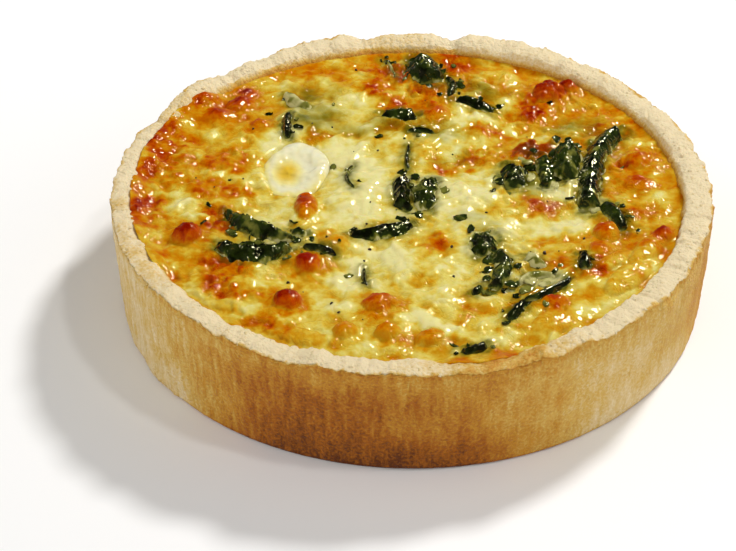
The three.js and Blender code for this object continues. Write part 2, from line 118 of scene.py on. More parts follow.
# How dark the wall is, 0 sandy to 1 dark: partly how much it has baked and partly painted light and shade,
# lighter on the left as under a fill light and darker at the front foot as in contact shade. Columns: degrees
# round, near the rim, halfway down, near the foot, and how much the tin has drawn it into streaks
WALL_BAKE_AND_SHADING = (
    (0, 0.38, 0.46, 0.44, 0.3), (60, 0.34, 0.38, 0.34, 0.5), (120, 0.36, 0.34, 0.34, 0.5),
    (170, 0.2, 0.2, 0.14, 0.7), (190, 0.06, 0.14, 0.06, 0.9), (210, 0.1, 0.06, 0.0, 1.0),
    (222, 0.2, 0.22, 0.1, 1.0), (230, 0.24, 0.34, 0.36, 1.0), (242, 0.34, 0.57, 0.68, 1.0),
    (250, 0.35, 0.7, 0.84, 0.9), (262, 0.38, 0.6, 0.86, 0.9), (270, 0.38, 0.6, 0.87, 0.9),
    (280, 0.38, 0.54, 0.8, 0.8), (290, 0.36, 0.36, 0.5, 0.7), (310, 0.3, 0.18, 0.12, 0.5),
    (330, 0.3, 0.34, 0.16, 0.45), (350, 0.42, 0.5, 0.46, 0.4),
)

# Places where the trimmed rim has browned: degrees round, half width in degrees, how much
RIM_BAKE = (
    (287, 13, 0.46), (186, 2, 0.2), (206, 12, 0.2), (90, 5, 0.14), (235, 4, 0.08), (150, 8, 0.2),
    (98, 5, 0.12), (345, 6, 0.08),
)

# Places where the filling has risen over the rim: degrees round, half width in degrees, reach
OVERFLOWS = (
    (148, 9, 2.3), (163, 9, 2.2), (178, 8, 1.5), (192, 9, 1.6), (206, 6, 1.0), (283, 9, 1.7),
)

# Long swells of the filling's top: waves per millimetre along x and y, height, phase
SWELLS = (
    (0.11, 0.05, 0.32, 0.4), (-0.07, 0.16, 0.28, 2.2), (0.21, -0.13, 0.24, 4.1), (0.05, 0.31, 0.2, 1.1),
    (0.37, 0.17, 0.16, 5.3), (-0.29, 0.36, 0.14, 3.3),
)

# Beads and lumps of melted cheese that read one by one: x, y, half width along the heading, half width
# across it, height, heading in degrees, and how dark it has baked, 0 yellow to 1 red-brown
BEADS = (
    (-43.8, -14.6, 2.8, 2.8, 4.2, 0, 1.15), (-21.1, -3.6, 4.7, 2.1, 3.2, 92, 0.8),
    (-19.8, -23.4, 2.6, 2.4, 3.2, 110, 1.0), (-23.3, -35.4, 2.6, 2.6, 3.6, 0, 1.25),
    (-5.8, -36.2, 3.4, 2.8, 3.4, 35, 0.75), (-12.2, -45.0, 2.4, 2.2, 2.8, 60, 0.4),
    (-4.2, -44.6, 2.2, 1.9, 2.4, 20, 0.4), (3.6, -45.8, 2.6, 2.0, 2.4, 30, 0.4),
    (-14.9, -16.6, 2.9, 2.6, 2.2, 0, 0.2), (27.4, -35.6, 2.6, 1.9, 1.9, 25, 0.65),
    (38.4, -11.8, 3.0, 2.4, 3.0, 100, 0.6), (37.2, -17.6, 2.8, 2.4, 2.2, 80, 0.5),
    (49.4, -13.2, 2.6, 2.0, 3.4, 55, 0.95), (46.4, -17.4, 6.0, 2.2, 2.8, 56, 0.1),
    (29.0, 38.4, 3.6, 3.0, 4.2, 70, 1.1), (33.2, 40.2, 2.1, 1.9, 3.8, 0, 1.1),
    (5.4, 29.4, 3.2, 2.7, 2.2, 75, 0.5), (9.2, 47.4, 2.4, 2.0, 2.1, 90, 0.8),
    (-36.0, 34.0, 3.1, 2.8, 2.5, 60, 0.85), (-34.8, 38.2, 1.8, 1.7, 1.9, 0, 0.85),
    (-40.4, 29.4, 3.2, 2.3, 1.9, 20, 0.85), (-31.6, 25.6, 2.3, 2.0, 1.8, 90, 0.7),
    (46.6, 13.0, 2.9, 2.5, 2.0, 40, 0.6), (46.0, 5.4, 3.0, 2.7, 1.8, 0, 0.6),
    (-20.2, -46.4, 4.6, 2.4, 1.5, -20, 0.1), (27.0, -41.6, 4.6, 2.8, 1.6, 30, 0.15),
    (42.0, -27.2, 6.4, 2.6, 2.8, 52, 0.05), (39.6, -21.6, 4.6, 1.9, 2.2, 50, 0.1),
)

# Browned places, ovals: x, y, half width along the heading, half width across, heading, strength
BROWNED = (
    (-33, -25.5, 4.2, 2, -10, 0.42), (-37.5, -10, 3.4, 2.6, 60, 0.5), (-43, 34, 10, 6.5, 135, 0.27),
    (-36, 37, 3.5, 3, 60, 0.36), (-31.5, 25.5, 3.2, 3, 0, 0.34), (-50, 20.5, 7.5, 5, 110, 0.38),
    (-50, 8.5, 6, 4.6, 100, 0.5), (-42, 2.5, 4, 4, 0, 0.45), (-36, 13, 5, 3.6, 30, 0.42),
    (-35, 1.5, 3, 2.6, 0, 0.35), (-52, -6, 3.6, 7, 10, 0.4), (-38, -7, 5, 3.2, 110, 0.5),
    (-44, -14, 5, 4.4, 0, 0.2), (-36, -23, 6.5, 2.2, -12, 0.45), (-34, -30, 7, 4.6, 150, 0.42),
    (-26.5, -42.5, 4, 2.6, 150, 0.3), (-24, -36, 3.6, 3.4, 0, 0.25), (-20, -23.5, 4.4, 3.2, -30, 0.3),
    (25, -4, 6.4, 3.4, 10, 0.36), (19, 18, 11, 4.4, 12, 0.26), (13, 12, 3.6, 3, 0, 0.3),
    (13, 26, 3, 3, 0, 0.3), (3, 39.5, 4.6, 2.6, 5, 0.46), (4, 53, 8, 2, 0, 0.3),
    (-7.5, 40.5, 3.6, 4.2, 0, 0.45), (-19, 46, 5, 3.6, 30, 0.06), (-20, 21.5, 4.4, 2.6, 10, 0.32),
    (-6.5, 21, 2.6, 2, 20, 0.36), (8, 11.5, 5, 2, 12, 0.3), (5.5, 31, 4, 4, 0, 0.34),
    (10, 49, 3.4, 2.4, 10, 0.3), (-2.5, -48, 4, 2.2, 0, 0.15), (25, 33, 3.4, 5.5, 160, 0.62),
    (30, 38, 3.6, 3.2, 30, 0.6), (46.5, 14, 4.2, 3.2, 30, 0.34), (45.5, 7, 4.2, 2.6, 20, 0.08),
    (39, 25.5, 3, 2, 0, 0.36), (25, 16.5, 5, 3, 20, 1.0), (6, -14.5, 7, 3.4, 20, 0.26),
    (27, -14, 4, 2, 30, 0.32), (37.5, -13, 3.6, 6.5, 5, 0.06), (28, -23, 3.6, 2.6, 10, 0.3),
    (27.5, -36, 3.6, 2.4, 25, 0.28), (27, -41.5, 6, 3, 30, 0.06), (-5, -38, 5.4, 3.6, 35, 0.3),
    (-12, -45, 3, 2.8, 0, 0.1), (14, 46, 8, 4, -10, 0.02), (-45, -24, 6, 3, 110, 0.2),
    (8, -20, 4, 3, 0, 0.14), (-15, -14.5, 3.6, 3, 0, 0.2), (15, -37, 5, 2.4, 20, 0.16),
    (50, -2, 3, 9, 0, 0.06), (47, 24, 3, 8, 25, 0.08), (17, 4, 3, 6, 0, 0.06), (45, -6, 4, 4, 0, 0.26),
    (15, 15, 5.4, 4, 0, 0.48), (2, 16, 8, 4.4, 0, 0.24), (15, 25, 5, 3.6, 0, 0.4),
    (-4, 34.5, 4.6, 3.4, 0, 0.42), (5, 36, 4.6, 3.6, 0, 0.42), (-3, 46, 5, 3.6, 0, 0.54),
    (35, -25, 4, 3.4, 40, 0.56), (-1, 25, 7, 3, 0, 0.26), (5, -25, 4, 3.4, 0, 0.2), (45, -15, 3, 3, 0, 0.2),
    (-36, -13.5, 4, 3, 0, 0.16),
)

# Pale creamy pools, ovals: x, y, half width along the heading, half width across, heading, strength
CREAMY = (
    (-12, 12, 6.5, 8, 0, 0.3), (-9, 3, 7, 6, 0, 0.22), (-14, -5, 8, 4, 0, 0.2), (-8, -6, 5, 2.4, 0, 0.22),
    (-14, 34, 6, 4, -20, 0.26), (-17, 26, 5, 3, 0, 0.12), (9, 29, 5, 3.4, 60, 0.32), (9, 20, 7, 4, 0, 0.26),
    (-6, 14, 6, 4, 0, 0.16), (9, 1.4, 5, 3.6, 0, 0.28), (9, 6, 6, 1.6, 0, 0.22), (15, -8, 7, 2, -5, 0.2),
    (22, -11, 8, 1.8, 10, 0.2), (31, -8.5, 4.4, 2.4, -15, 0.42), (29, 1.5, 6, 2, -10, 0.22),
    (10, -24, 3, 6, 0, 0.12), (5, -42, 9, 1.7, -27, 0.36), (16, -45.5, 5, 1.6, 10, 0.16),
    (-28, 20, 3, 8, -10, 0.26), (-21, 30, 3, 4, 30, 0.2), (-31.5, -30, 4.6, 2.2, 0, 0.24),
    (-14, -28, 5, 2.4, -20, 0.24), (-3, -21, 7, 2.4, 0, 0.2), (-3, -30, 6, 3, 0, 0.14),
    (-16, -36.5, 3.6, 1.6, 20, 0.26), (36, -36, 6, 3, 35, 0.2), (26, -29, 4, 1.4, 30, 0.3),
    (48, 1.5, 5, 1.6, 10, 0.2), (21, 25, 9, 1.2, -38, 0.3), (21, 33, 2, 5, 35, 0.2),
    (-34, 7, 6, 1.6, 10, 0.14), (-46, 0, 3, 5, 30, 0.24), (-44, -5, 2, 5, 30, 0.2),
    (36, -2, 3, 2, 30, 0.24), (41, -25, 5, 2, 52, 0.16), (38, -31, 4, 2, 40, 0.14),
    (45, -21, 4, 1.6, 56, 0.2), (-26, -6, 5, 3.4, 0, 0.24), (-15, -45, 4, 2.6, 0, 0.14),
    (-5, -47, 5, 2, 0, 0.14),
)

# Spinach that shows through the filling, ovals: x, y, half width along the heading, across, heading, strength
GREENED = (
    (-8, 25, 7, 1.8, 5, 0.6), (34, 25, 5, 3, 20, 0.75), (11, -8, 3, 2.4, 0, 0.35), (15, -12, 3, 3, 0, 0.35),
    (-20, 28, 5.5, 4.6, 60, 0.75), (-22, 37, 4, 3, 60, 0.55), (30, -1, 4, 3, 0, 0.2),
    (13, 40, 6, 3, -20, 0.5), (-1, 26.6, 5, 2.4, 0, 0.5), (23, -29.5, 5, 3.4, 30, 0.55),
    (9, 13.5, 4, 1.8, 10, 0.4), (25, 15, 5, 4, 20, 0.3), (4, 24, 6, 3, 0, 0.5), (-18, 38, 3, 3, 0, 0.3),
    (-27.5, -14.5, 8, 3, -30, 0.5), (-29, -19, 8, 3, -10, 0.5), (25, 5, 5, 4, 0, 0.8),
    (-5, 26, 5, 3, 0, 0.5), (35, 26, 4, 3, 0, 0.5),
)

# The spinach: node, start, bend, end, width, lift of its crown, depth of its wrinkles, how pale it is
# (custard film, and on some leaves a painted sheen), and how wide its tips are as a share of its width
LEAVES = (
    ("back_clump", (1.2, 51.4), (2.4, 47), (4.6, 42.2), 7.2, 2.6, 1.2, 0.3, 0.75),
    ("back_tail", (6.6, 44.4), (10.4, 42), (7.5, 35.4), 2.2, 0.8, 0.5, 0.1, 0.25),
    ("back_stalk", (-6.6, 52.2), (-4, 49.8), (-3.6, 43), 0.9, 0.6, 0.15, 0.75, 0.25),
    ("back_right", (8.8, 34.6), (13.6, 35.4), (17.4, 31.8), 3.4, 1, 0.6, 0.1, 0.25),
    ("back_centre", (-6.4, 30), (-2.4, 28), (1.2, 29.6), 4.4, 1.3, 0.6, 0.25, 0.4),
    ("centre_shred", (-1.4, 22.8), (2, 24.4), (5.2, 22.8), 1.8, 0.6, 0.3, 0.15, 0.25),
    ("left_fold", (-26.8, 38.6), (-25.8, 34.8), (-21, 31.2), 3, 1.3, 0.7, 0.95, 0.25),
    ("left_upright", (-25.2, 29.4), (-26.8, 25), (-25.4, 20.6), 2.3, 1.3, 0.6, 0.15, 0.4),
    ("ring_shred", (-11.4, 12.2), (-15, 7.2), (-11, 1.8), 1.1, 0.6, 0.2, 0.3, 0.25),
    ("centre_upright", (-0.4, 18.8), (-1.2, 14), (-0.6, 8.6), 1.4, 0.6, 0.35, 0.1, 0.3),
    ("centre_dark", (-0.6, 7.2), (-4, 1.8), (-0.2, -5), 3.6, 1.2, 0.9, 0.0, 0.55),
    # centre_glossy here and fore_clump below are made pale partly as painted sheen in place of their silver
    # glints
    ("centre_glossy", (4.6, 5.4), (1.8, 2.2), (3, -4.8), 5.0, 1.2, 1.7, 0.42, 0.55),
    ("centre_blade", (-12.4, -13), (-6.4, -13.8), (0.8, -8.8), 4.4, 1.1, 0.8, 0.16, 0.1),
    ("left_upper", (-36.8, -5.6), (-34, -12.6), (-22.4, -16.2), 4.4, 1.7, 1.5, 0.4, 0.12),
    ("left_lower", (-38, -17.4), (-33.6, -24), (-22.8, -18.4), 5.2, 1.6, 1.5, 0.26, 0.15),
    ("left_small", (-23.8, -12.4), (-22.2, -13.6), (-20.2, -14.6), 2.8, 0.8, 0.5, 0.5, 0.3),
    ("left_tip", (-21.6, -18.2), (-18.6, -18.4), (-14, -20), 2, 0.9, 0.5, 0.1, 0.08),
    ("front_shred", (-8.8, -22.6), (-9.6, -26), (-8, -30.2), 1.3, 0.7, 0.3, 0.1, 0.3),
    ("right_roll", (43.4, 23.6), (36.8, 21), (35.3, -3.6), 4.5, 2.3, 0.5, 0.26, 0.95),
    ("right_clump", (31, 17.4), (33.2, 12.4), (30.4, 7), 5.8, 2.6, 1.3, 0.45, 0.7),
    ("right_link", (26.2, 14.2), (28.6, 9), (26.8, 3.2), 3.8, 1.2, 0.9, 0.4, 0.7),
    ("right_inner", (19.6, 9.8), (20, 6.4), (22, 2.8), 5.2, 1.5, 1.3, 0.25, 0.65),
    ("right_blade", (38, -1.6), (40.6, -5), (41.8, -11.2), 3.8, 1.4, 0.6, 0.25, 0.45),
    ("fore_top", (16, -13.8), (13, -16.6), (14.6, -20.4), 5.2, 1.0, 1.4, 0.3, 0.75),
    ("fore_long", (16.8, -19), (20, -24.8), (15.2, -31), 3.6, 1.3, 0.9, 0.24, 0.6),
    ("fore_small", (11.4, -32.6), (12.8, -32), (13.8, -29.6), 2.2, 0.8, 0.4, 0.05, 0.25),
    ("fore_clump", (22, -20.4), (24.4, -21.4), (24.6, -24.8), 3, 1.3, 0.9, 0.85, 0.6),
    ("fore_dark", (33.2, -20), (34.4, -22), (33, -25.4), 2.8, 1.3, 0.6, 0.0, 0.6),
    ("fore_loop", (20.6, -30.4), (23, -25.6), (28.2, -27.6), 2.2, 0.9, 0.5, 0.85, 0.25),
    ("fore_strip", (30.8, -27.4), (28, -33), (20.8, -36), 2.1, 1, 0.5, 0.0, 0.25),
    ("fore_end", (22.6, -36), (20, -37.4), (18.4, -41.6), 2.8, 0.9, 0.6, 0.05, 0.3),
    ("rim_scrap", (8.8, -50), (12, -50.6), (14.8, -48.2), 2.6, 1.2, 0.6, 0.1, 0.25),
)

# Small scraps of spinach seen one by one: x, y, length, half width, heading in degrees, how pale
SCRAPS = (
    (9.8, -7.8, 3.4, 1.2, 10, 0.4), (11.8, -11.8, 3.4, 0.8, 80, 0.1), (-6.8, 21.4, 2.2, 0.7, 20, 0.2),
    (29.0, 34.6, 1.6, 0.7, 70, 0.0), (6.2, 49.8, 2.6, 0.6, 80, 0.1), (44.8, -11.6, 2.2, 0.5, 80, 0.2),
    (20.6, -24.8, 2.0, 0.8, 45, 0.1), (18.6, -31.8, 3.4, 1.1, -30, 0.1), (20.2, -33.8, 2.0, 0.8, 0, 0.1),
    (18.4, 34.2, 3.6, 0.8, 35, 0.1), (14.2, 36.2, 2.4, 0.9, 40, 0.2), (15.0, -25.0, 3.0, 0.9, 60, 0.2),
    (14.6, -28.4, 2.2, 0.9, 30, 0.2), (18.0, 4.4, 3.4, 1.2, 60, 0.1), (-32.0, -17.6, 4.0, 0.9, 10, 0.2),
    (-1.6, -7.6, 3.6, 0.9, -30, 0.1), (0.8, 6.6, 2.6, 1.0, 80, 0.1), (-30.6, -14.0, 3.0, 0.8, -60, 0.6),
    (29.6, 20.0, 3.4, 1.0, 60, 0.3), (36.8, 17.0, 2.6, 0.8, 60, 0.2), (8.2, 38.4, 2.4, 0.9, 85, 0.3),
    (-36.6, 5.4, 1.2, 0.3, 30, 0.2), (27.0, 12.4, 2.0, 0.9, 0, 0.95), (28.6, 12.2, 1.6, 0.7, 90, 0.9),
    (26.6, 4.4, 1.8, 0.8, 80, 0.95), (29.2, 4.0, 2.2, 0.8, 90, 1.0), (23.2, 12.2, 4.0, 0.9, -30, 0.8),
    (18.0, 5.2, 4.0, 1.7, 70, 0.6), (24.2, 6.0, 3.4, 0.9, 80, 1.0), (36.8, -3.6, 2.6, 1.0, 30, 0.9),
    (38.8, -3.6, 2.6, 0.8, -60, 1.0), (26.4, 7.6, 4.0, 1.4, 20, 0.0), (29.6, 20.8, 3.4, 0.9, 15, 0.0),
    (32.4, 20.2, 2.2, 0.8, 60, 0.1), (19.4, -31.8, 3.4, 1.2, -40, 0.8), (23.0, -29.4, 3.0, 1.1, 20, 0.9),
    (25.6, -30.0, 3.0, 1.0, 30, 0.95), (14.0, -25.6, 1.8, 0.4, 15, 0.0), (16.8, -28.6, 3.0, 1.1, 70, 0.1),
    (21.6, -36.6, 3.6, 1.3, 15, 0.0), (15.4, -17.6, 3.0, 1.4, 0, 0.5), (24.6, 10.6, 4.6, 1.4, 0, 0.1),
    (27.0, 9.2, 4.0, 1.6, 80, 0.3), (29.4, 15.4, 4.0, 1.4, 60, 0.2), (29.4, 7.6, 3.6, 1.3, 20, 0.3),
    (22.4, 8.2, 3.6, 1.4, 60, 0.3), (33.6, 7.2, 3.0, 1.2, 80, 0.3), (36.2, 10.6, 3.2, 1.1, 80, 0.1),
    (-30.0, -16.4, 5.0, 1.2, -20, 0.55), (-26.0, -16.8, 4.0, 1.2, 0, 0.5),
    (-35.0, -14.0, 3.6, 1.1, -50, 0.4), (-22.6, -15.8, 3.2, 1.0, -30, 0.3),
    (-33.6, -19.6, 3.0, 1.2, 0, 0.2), (15.2, -21.8, 3.4, 1.4, 60, 0.3), (18.8, -22.2, 3.0, 1.2, -60, 0.3),
    (17.6, -27.0, 3.2, 1.2, 80, 0.5), (19.4, -30.2, 3.4, 1.3, 10, 0.4), (22.0, -32.4, 4.0, 1.2, 30, 0.6),
    (24.4, -33.6, 3.0, 1.0, 40, 0.3), (-1.8, 8.6, 2.6, 1.2, 60, 0.1), (1.2, -6.4, 3.0, 1.2, 0, 0.2),
    (6.6, 1.4, 3.0, 1.2, 80, 0.5), (6.6, 46.4, 3.4, 1.3, 60, 0.3), (3.2, 40.6, 3.0, 1.2, 0, 0.3),
    (10.2, 41.0, 3.2, 1.1, -60, 0.3),
)

# The cheese round: its middle, radius, how much longer it is from front to back, and where its dish lies from
# its middle. Its section: share of its radius, height above the filling.
ROUND_AT = (-23.5, 9.9)
ROUND_RADIUS = 7.0
ROUND_STRETCH = 1.34
ROUND_DISH = (-1.4, -1.4)
ROUND_SECTION = (
    (0, -1.1), (0.9, -1), (1, -0.1), (0.97, 0.6), (0.86, 1.15), (0.68, 1.1), (0.5, 0.5), (0, 0.35),
)

# Rows of the round's section and steps round it
ROUND_ROWS, ROUND_COLUMNS = 44, 200

# Ground pepper and fine dark specks: x, y, size
PEPPER = (
    (-8, -17.6, 0.8), (-9, -20.8, 0.6), (-23.5, -28.8, 0.85), (8, -17.6, 0.7), (8.3, -26.6, 0.7),
    (26, -19.6, 1.1), (15, -5.8, 0.6), (-12, 47.4, 0.7), (-34, 5.4, 0.6), (34, -13.6, 0.7), (-15, -36, 0.8),
    (-13.5, -39, 0.7), (-17, 52.8, 0.6), (17, 53, 0.6),
)


def linear(code):
    """An sRGB hex value as linear red, green and blue."""
    shares = [int(code[i : i + 2], 16) / 255 for i in (1, 3, 5)]
    return tuple(s / 12.92 if s <= 0.04045 else ((s + 0.055) / 1.055) ** 2.4 for s in shares)


def colour(name, description, code):
    """A colour setting whose default is an sRGB hex value."""
    return FloatVectorProperty(
        name=name, description=description, subtype="COLOR", size=3, min=0, max=1, default=linear(code)
    )


def length(name, description, millimetres, longest=200):
    """A length setting in metres whose default is given in millimetres."""
    return FloatProperty(
        name=name,
        description=description,
        unit="LENGTH",
        precision=5,
        min=0,
        max=longest * MM,
        default=millimetres * MM,
    )


class CaseSettings(bpy.types.PropertyGroup):
    """Sizes and colours of the pastry case."""

    rim_radius: length("Rim radius", "Outside radius at the rim", 60)
    base_radius: length("Base radius", "Outside radius at the foot", 58.6)
    height: length("Height", "Height of the rim", 23.7)
    base_edge: length("Foot rounding", "Radius of the edge at the foot", 0.6)
    edge: length("Filling line", "Height where the filling meets the pastry", 21.9)
    inner_radius: length("Inner radius", "Inside radius at the rim", 54.2)
    floor: length("Floor", "Thickness of the pastry under the filling", 4.5)
    crumb: length("Crumb", "Depth of the crumbly relief on the rim", 0.32)
    streak: length("Streaks", "Depth of the upright streaks on the wall", 0.07)
    columns: IntProperty(name="Columns", description="Steps round the case", default=1260, min=48)
    crumbs: IntProperty(name="Crumbs", description="Crumbs on the rim", default=420, min=0)
    sand: colour("Sandy rim", "Pale sandy crumb where the rim is trimmed", "#DFCCA3")
    straw: colour("Straw", "Barely baked wall", "#CCA652")
    golden: colour("Golden", "Baked wall", "#BE872A")
    toasted: colour("Toasted", "Where the wall has baked darker", "#A25C0C")
    scorched: colour("Dark edge", "The darkest streaks and the foot", "#5E2C04")


class FillingSettings(bpy.types.PropertyGroup):
    """Sizes and colours of the baked filling."""

    level: length("Level", "Height of the filling's middle", 21.4)
    rise: length("Rise", "How much the filling rises towards the pastry", 0.5)
    edge: length("Edge", "Height where the filling meets the pastry", 21.9)
    radius: length("Radius", "Radius of the filling's top", 54.6)
    foot_radius: length("Foot radius", "Radius of the filling at the pastry's floor", 52.1)
    foot: length("Foot", "Height of the filling's underside", 4.8)
    blister: length("Blisters", "Height of the browned blisters", 0.55)
    wrinkle: length("Wrinkles", "Height of the skin's fine wrinkles", 0.14)
    columns: IntProperty(name="Columns", description="Steps across the filling's top", default=302, min=24)
    white: colour("White", "Melted white cheese", "#DFD592")
    cream: colour("Cream", "Pale cheese and custard", "#D8C766")
    custard: colour("Custard", "Yellow egg custard", "#D0AE36")
    golden: colour("Golden", "Golden custard", "#C69014")
    amber: colour("Amber", "Lightly browned cheese", "#C07000")
    browned: colour("Browned", "Well browned cheese", "#AE4000")
    charred: colour("Charred", "The darkest beads", "#821000")
    green: colour("Green", "Spinach seen through custard", "#54560A")


class SpinachSettings(bpy.types.PropertyGroup):
    """Sizes and colours of the wilted spinach."""

    thickness: length("Thickness", "Thickness of a wilted leaf", 0.7)
    edge_sink: length("Edge sink", "How deep a leaf's edges lie in the filling", 0.7)
    step: length("Step", "Distance between the rows of a leaf's mesh", 0.24)
    scraps: IntProperty(name="Scraps", description="Torn scraps of leaf", default=110, min=0)
    dark: colour("Dark leaf", "Cooked leaf, wet", "#060901")
    leaf: colour("Leaf", "Where the leaf is thinner", "#26320A")
    film: colour("Film", "Custard over a leaf", "#C2BA7C")
    pale: colour("Pale leaf", "Leaf under a film of custard", "#807E32")
    white: colour("Soft cheese", "Melted soft white cheese", "#E2DDBC")


class StageSettings(bpy.types.PropertyGroup):
    """The camera, the light and the white ground."""

    distance: length("Camera distance", "From the camera to the middle of the base", 539.5, 5000)
    elevation: FloatProperty(
        name="Elevation",
        description="Camera height above the horizon",
        unit="ROTATION",
        default=math.radians(36.61),
    )
    roll: FloatProperty(name="Roll", description="Camera roll", unit="ROTATION", default=math.radians(0.401))
    lens: FloatProperty(name="Lens", description="Focal length in millimetres", default=128.42, min=10)
    aim_left: length("Aim left", "How far left of the middle the camera aims", 8.74)
    aim_up: length("Aim up", "How far above the middle the camera aims", 1.58)
    key_power: FloatProperty(name="Key power", description="Key light", unit="POWER", default=9.6, min=0)
    window_power: FloatProperty(
        name="Window power", description="Small light high on the right", unit="POWER", default=1.4, min=0
    )
    sky: FloatProperty(name="Sky", description="Strength of the surroundings", default=0.86, min=0)
    ground: colour("Ground", "White sweep", "#F4F3F1")


def waves(table, angle):
    """The sum of a table of sine waves at an array of angles."""
    return sum(size * np.sin(times * angle + phase) for times, size, phase in table)


def bumps(table, degrees, column):
    """The sum of bell curves in a table of rows (place in degrees, half width, ...), whose heights stand in
    one column."""
    total = np.zeros_like(degrees)
    for row in table:
        away = (degrees - row[0] + 180) % 360 - 180
        total += row[column] * np.exp(-((away / row[1]) ** 2))
    return total


def scatter(corner, seed):
    """Whole-number lattice corners, in the last axis, to well mixed whole numbers below 2**32."""
    mask = 0xFFFFFFFF
    x, y, z = (corner[..., i] & mask for i in range(3))
    mixed = (x * 374761393 + ((y * 668265263) & mask) + ((z * 1103515245) & mask) + seed * 974711) & mask
    mixed = ((mixed ^ (mixed >> 13)) * 1274126177) & mask
    mixed = ((mixed ^ (mixed >> 16)) * 668265263) & mask
    return mixed ^ (mixed >> 15)


def noise(points, size, seed=0):
    """Gradient noise, about -1 to 1, with lumps about size across: at each corner of a cubic lattice lies a
    scattered slope, and the slopes' heights at a point are blended with a smooth ease."""
    at = points / size
    cell = np.floor(at).astype(np.int64)
    inside = at - cell
    ease = inside**3 * (inside * (inside * 6 - 15) + 10)
    total = np.zeros(points.shape[:-1])
    for step in product((0, 1), repeat=3):
        step = np.array(step)
        mixed = scatter(cell + step, seed)
        away = inside - step
        slope = sum((((mixed >> (10 * i)) & 1023) / 511.5 - 1) * away[..., i] for i in range(3))
        share = np.where(step == 1, ease, 1 - ease).prod(-1)
        total += slope * share
    return total * 1.6


def layered(points, size, layers, seed=0):
    """Noise of several sizes, each half as large and half as strong as the one before."""
    return sum(noise(points, size / 2**i, seed + i) / 2**i for i in range(layers))


def flat(x, y):
    """Places on the level as points for the noise."""
    return np.stack([x, y, np.zeros_like(x)], -1)


def cells(x, y, size, seed):
    """The distance, in units of size, to the nearest of the jittered points of a square lattice, one to a
    cell, and that point's own share from 0 to 1."""
    at = flat(x, y) / size
    cell = np.floor(at).astype(np.int64)
    nearest = np.full(x.shape, 9.0)
    share = np.zeros_like(x)
    for step in product((-1, 0, 1), repeat=2):
        corner = cell + np.array((*step, 0))
        mixed = scatter(corner, seed)
        jitter = np.stack([(mixed & 1023) / 1023, ((mixed >> 10) & 1023) / 1023], -1)
        away = np.hypot(*np.moveaxis(at[..., :2] - corner[..., :2] - jitter, -1, 0))
        closer = away < nearest
        nearest = np.where(closer, away, nearest)
        share = np.where(closer, ((mixed >> 20) & 1023) / 1023, share)
    return nearest, share


def smooth(low, high, value):
    """0 below low, 1 above high, and an S curve between."""
    t = np.clip((value - low) / (high - low), 0, 1)
    return t * t * (3 - 2 * t)


def turned(dx, dy, turn):
    """How far a step along x and y goes along a heading, and how far to the left of it."""
    return dx * math.cos(turn) + dy * math.sin(turn), dy * math.cos(turn) - dx * math.sin(turn)


def around(radius, angle, height):
    """Points on circles about the upright axis."""
    return np.stack([radius * np.cos(angle), radius * np.sin(angle), height + 0 * angle], -1)


def oval(x, y, at, along, across, heading):
    """The distance from the middle of an oval, 1 on its outline."""
    ahead, aside = turned(x - at[0], y - at[1], math.radians(heading))
    return np.hypot(ahead / along, aside / across)


def spots(x, y, table, crisp):
    """The strongest of a table of ovals at each place: a bell curve, half as strong at the oval's outline."""
    strongest = np.zeros_like(x)
    for px, py, along, across, heading, strength in table:
        away = oval(x, y, (px, py), along, across, heading)
        strongest = np.maximum(strongest, strength * np.exp2(-(away ** (2 * crisp))))
    return strongest


def filling_level(x, y, s):
    """The filling's smooth top: level in the middle, a little higher towards the pastry, with long swells."""
    out = np.hypot(x, y) / (s.radius / MM)
    swell = sum(size * np.sin(kx * x + ky * y + phase) for kx, ky, size, phase in SWELLS)
    return s.level / MM + s.rise / MM * out**2 * (1 - out**4) + swell * (1 - 0.6 * out**6)


def leaf_path(start, bend, end, u):
    """Points and headings at shares u of the length of a quadratic curve from start past bend to end, and
    that length."""
    a, b, c = (np.array(p, float) for p in (start, bend, end))

    def curve(t):
        return (1 - t) ** 2 * a + 2 * t * (1 - t) * b + t**2 * c

    t = np.linspace(0, 1, 65)[:, None]
    run = np.concatenate([[0], np.cumsum(np.hypot(*np.diff(curve(t), axis=0).T))])
    t = np.interp(u * run[-1], run, t[:, 0])[:, None]
    heading = 2 * (1 - t) * (b - a) + 2 * t * (c - b)
    return curve(t), heading / np.linalg.norm(heading, axis=1, keepdims=True), run[-1]


def leaf_taper(u, tip):
    """A leaf's width along its length, as a share of its widest, from its width at the tips."""
    return tip + (1 - tip) * np.sin(np.pi * np.clip(u, 0, 1)) ** 0.6


def leaf_cover(x, y):
    """How far places lie outside the nearest leaf's edge, in millimetres, below 0 under the leaf."""
    outside = np.full(x.shape, 99.0)
    for _, start, bend, end, width, _, _, _, tip in LEAVES:
        u = np.linspace(0, 1, 25)
        place, _, _ = leaf_path(start, bend, end, u)
        near = (np.abs(x - place[:, 0].mean()) < 20) & (np.abs(y - place[:, 1].mean()) < 20)
        away = np.hypot(x[near][:, None] - place[:, 0], y[near][:, None] - place[:, 1])
        away = (away - 0.5 * width * leaf_taper(u, tip)).min(1)
        outside[near] = np.minimum(outside[near], away)
    return outside


def rim_top(angle, s):
    """The height of the pastry's rim at an array of angles."""
    return s.height / MM + waves(RIM_WAVES, angle) - bumps(RIM_BREAKS, np.degrees(angle), 2)


def put_mesh(name, points, faces, values=None, smooth_shaded=True):
    """A mesh object from points in millimetres and faces, with named values for its points."""
    mesh = bpy.data.meshes.new(name)
    mesh.from_pydata(points * MM, [], faces)
    for key, value in (values or {}).items():
        mesh.attributes.new(key, "FLOAT", "POINT").data.foreach_set("value", value.astype(np.float32))
    mesh.polygons.foreach_set("use_smooth", np.full(len(mesh.polygons), smooth_shaded))
    mesh.validate()
    piece = bpy.data.objects.new(name, mesh)
    bpy.context.scene.collection.objects.link(piece)
    return piece


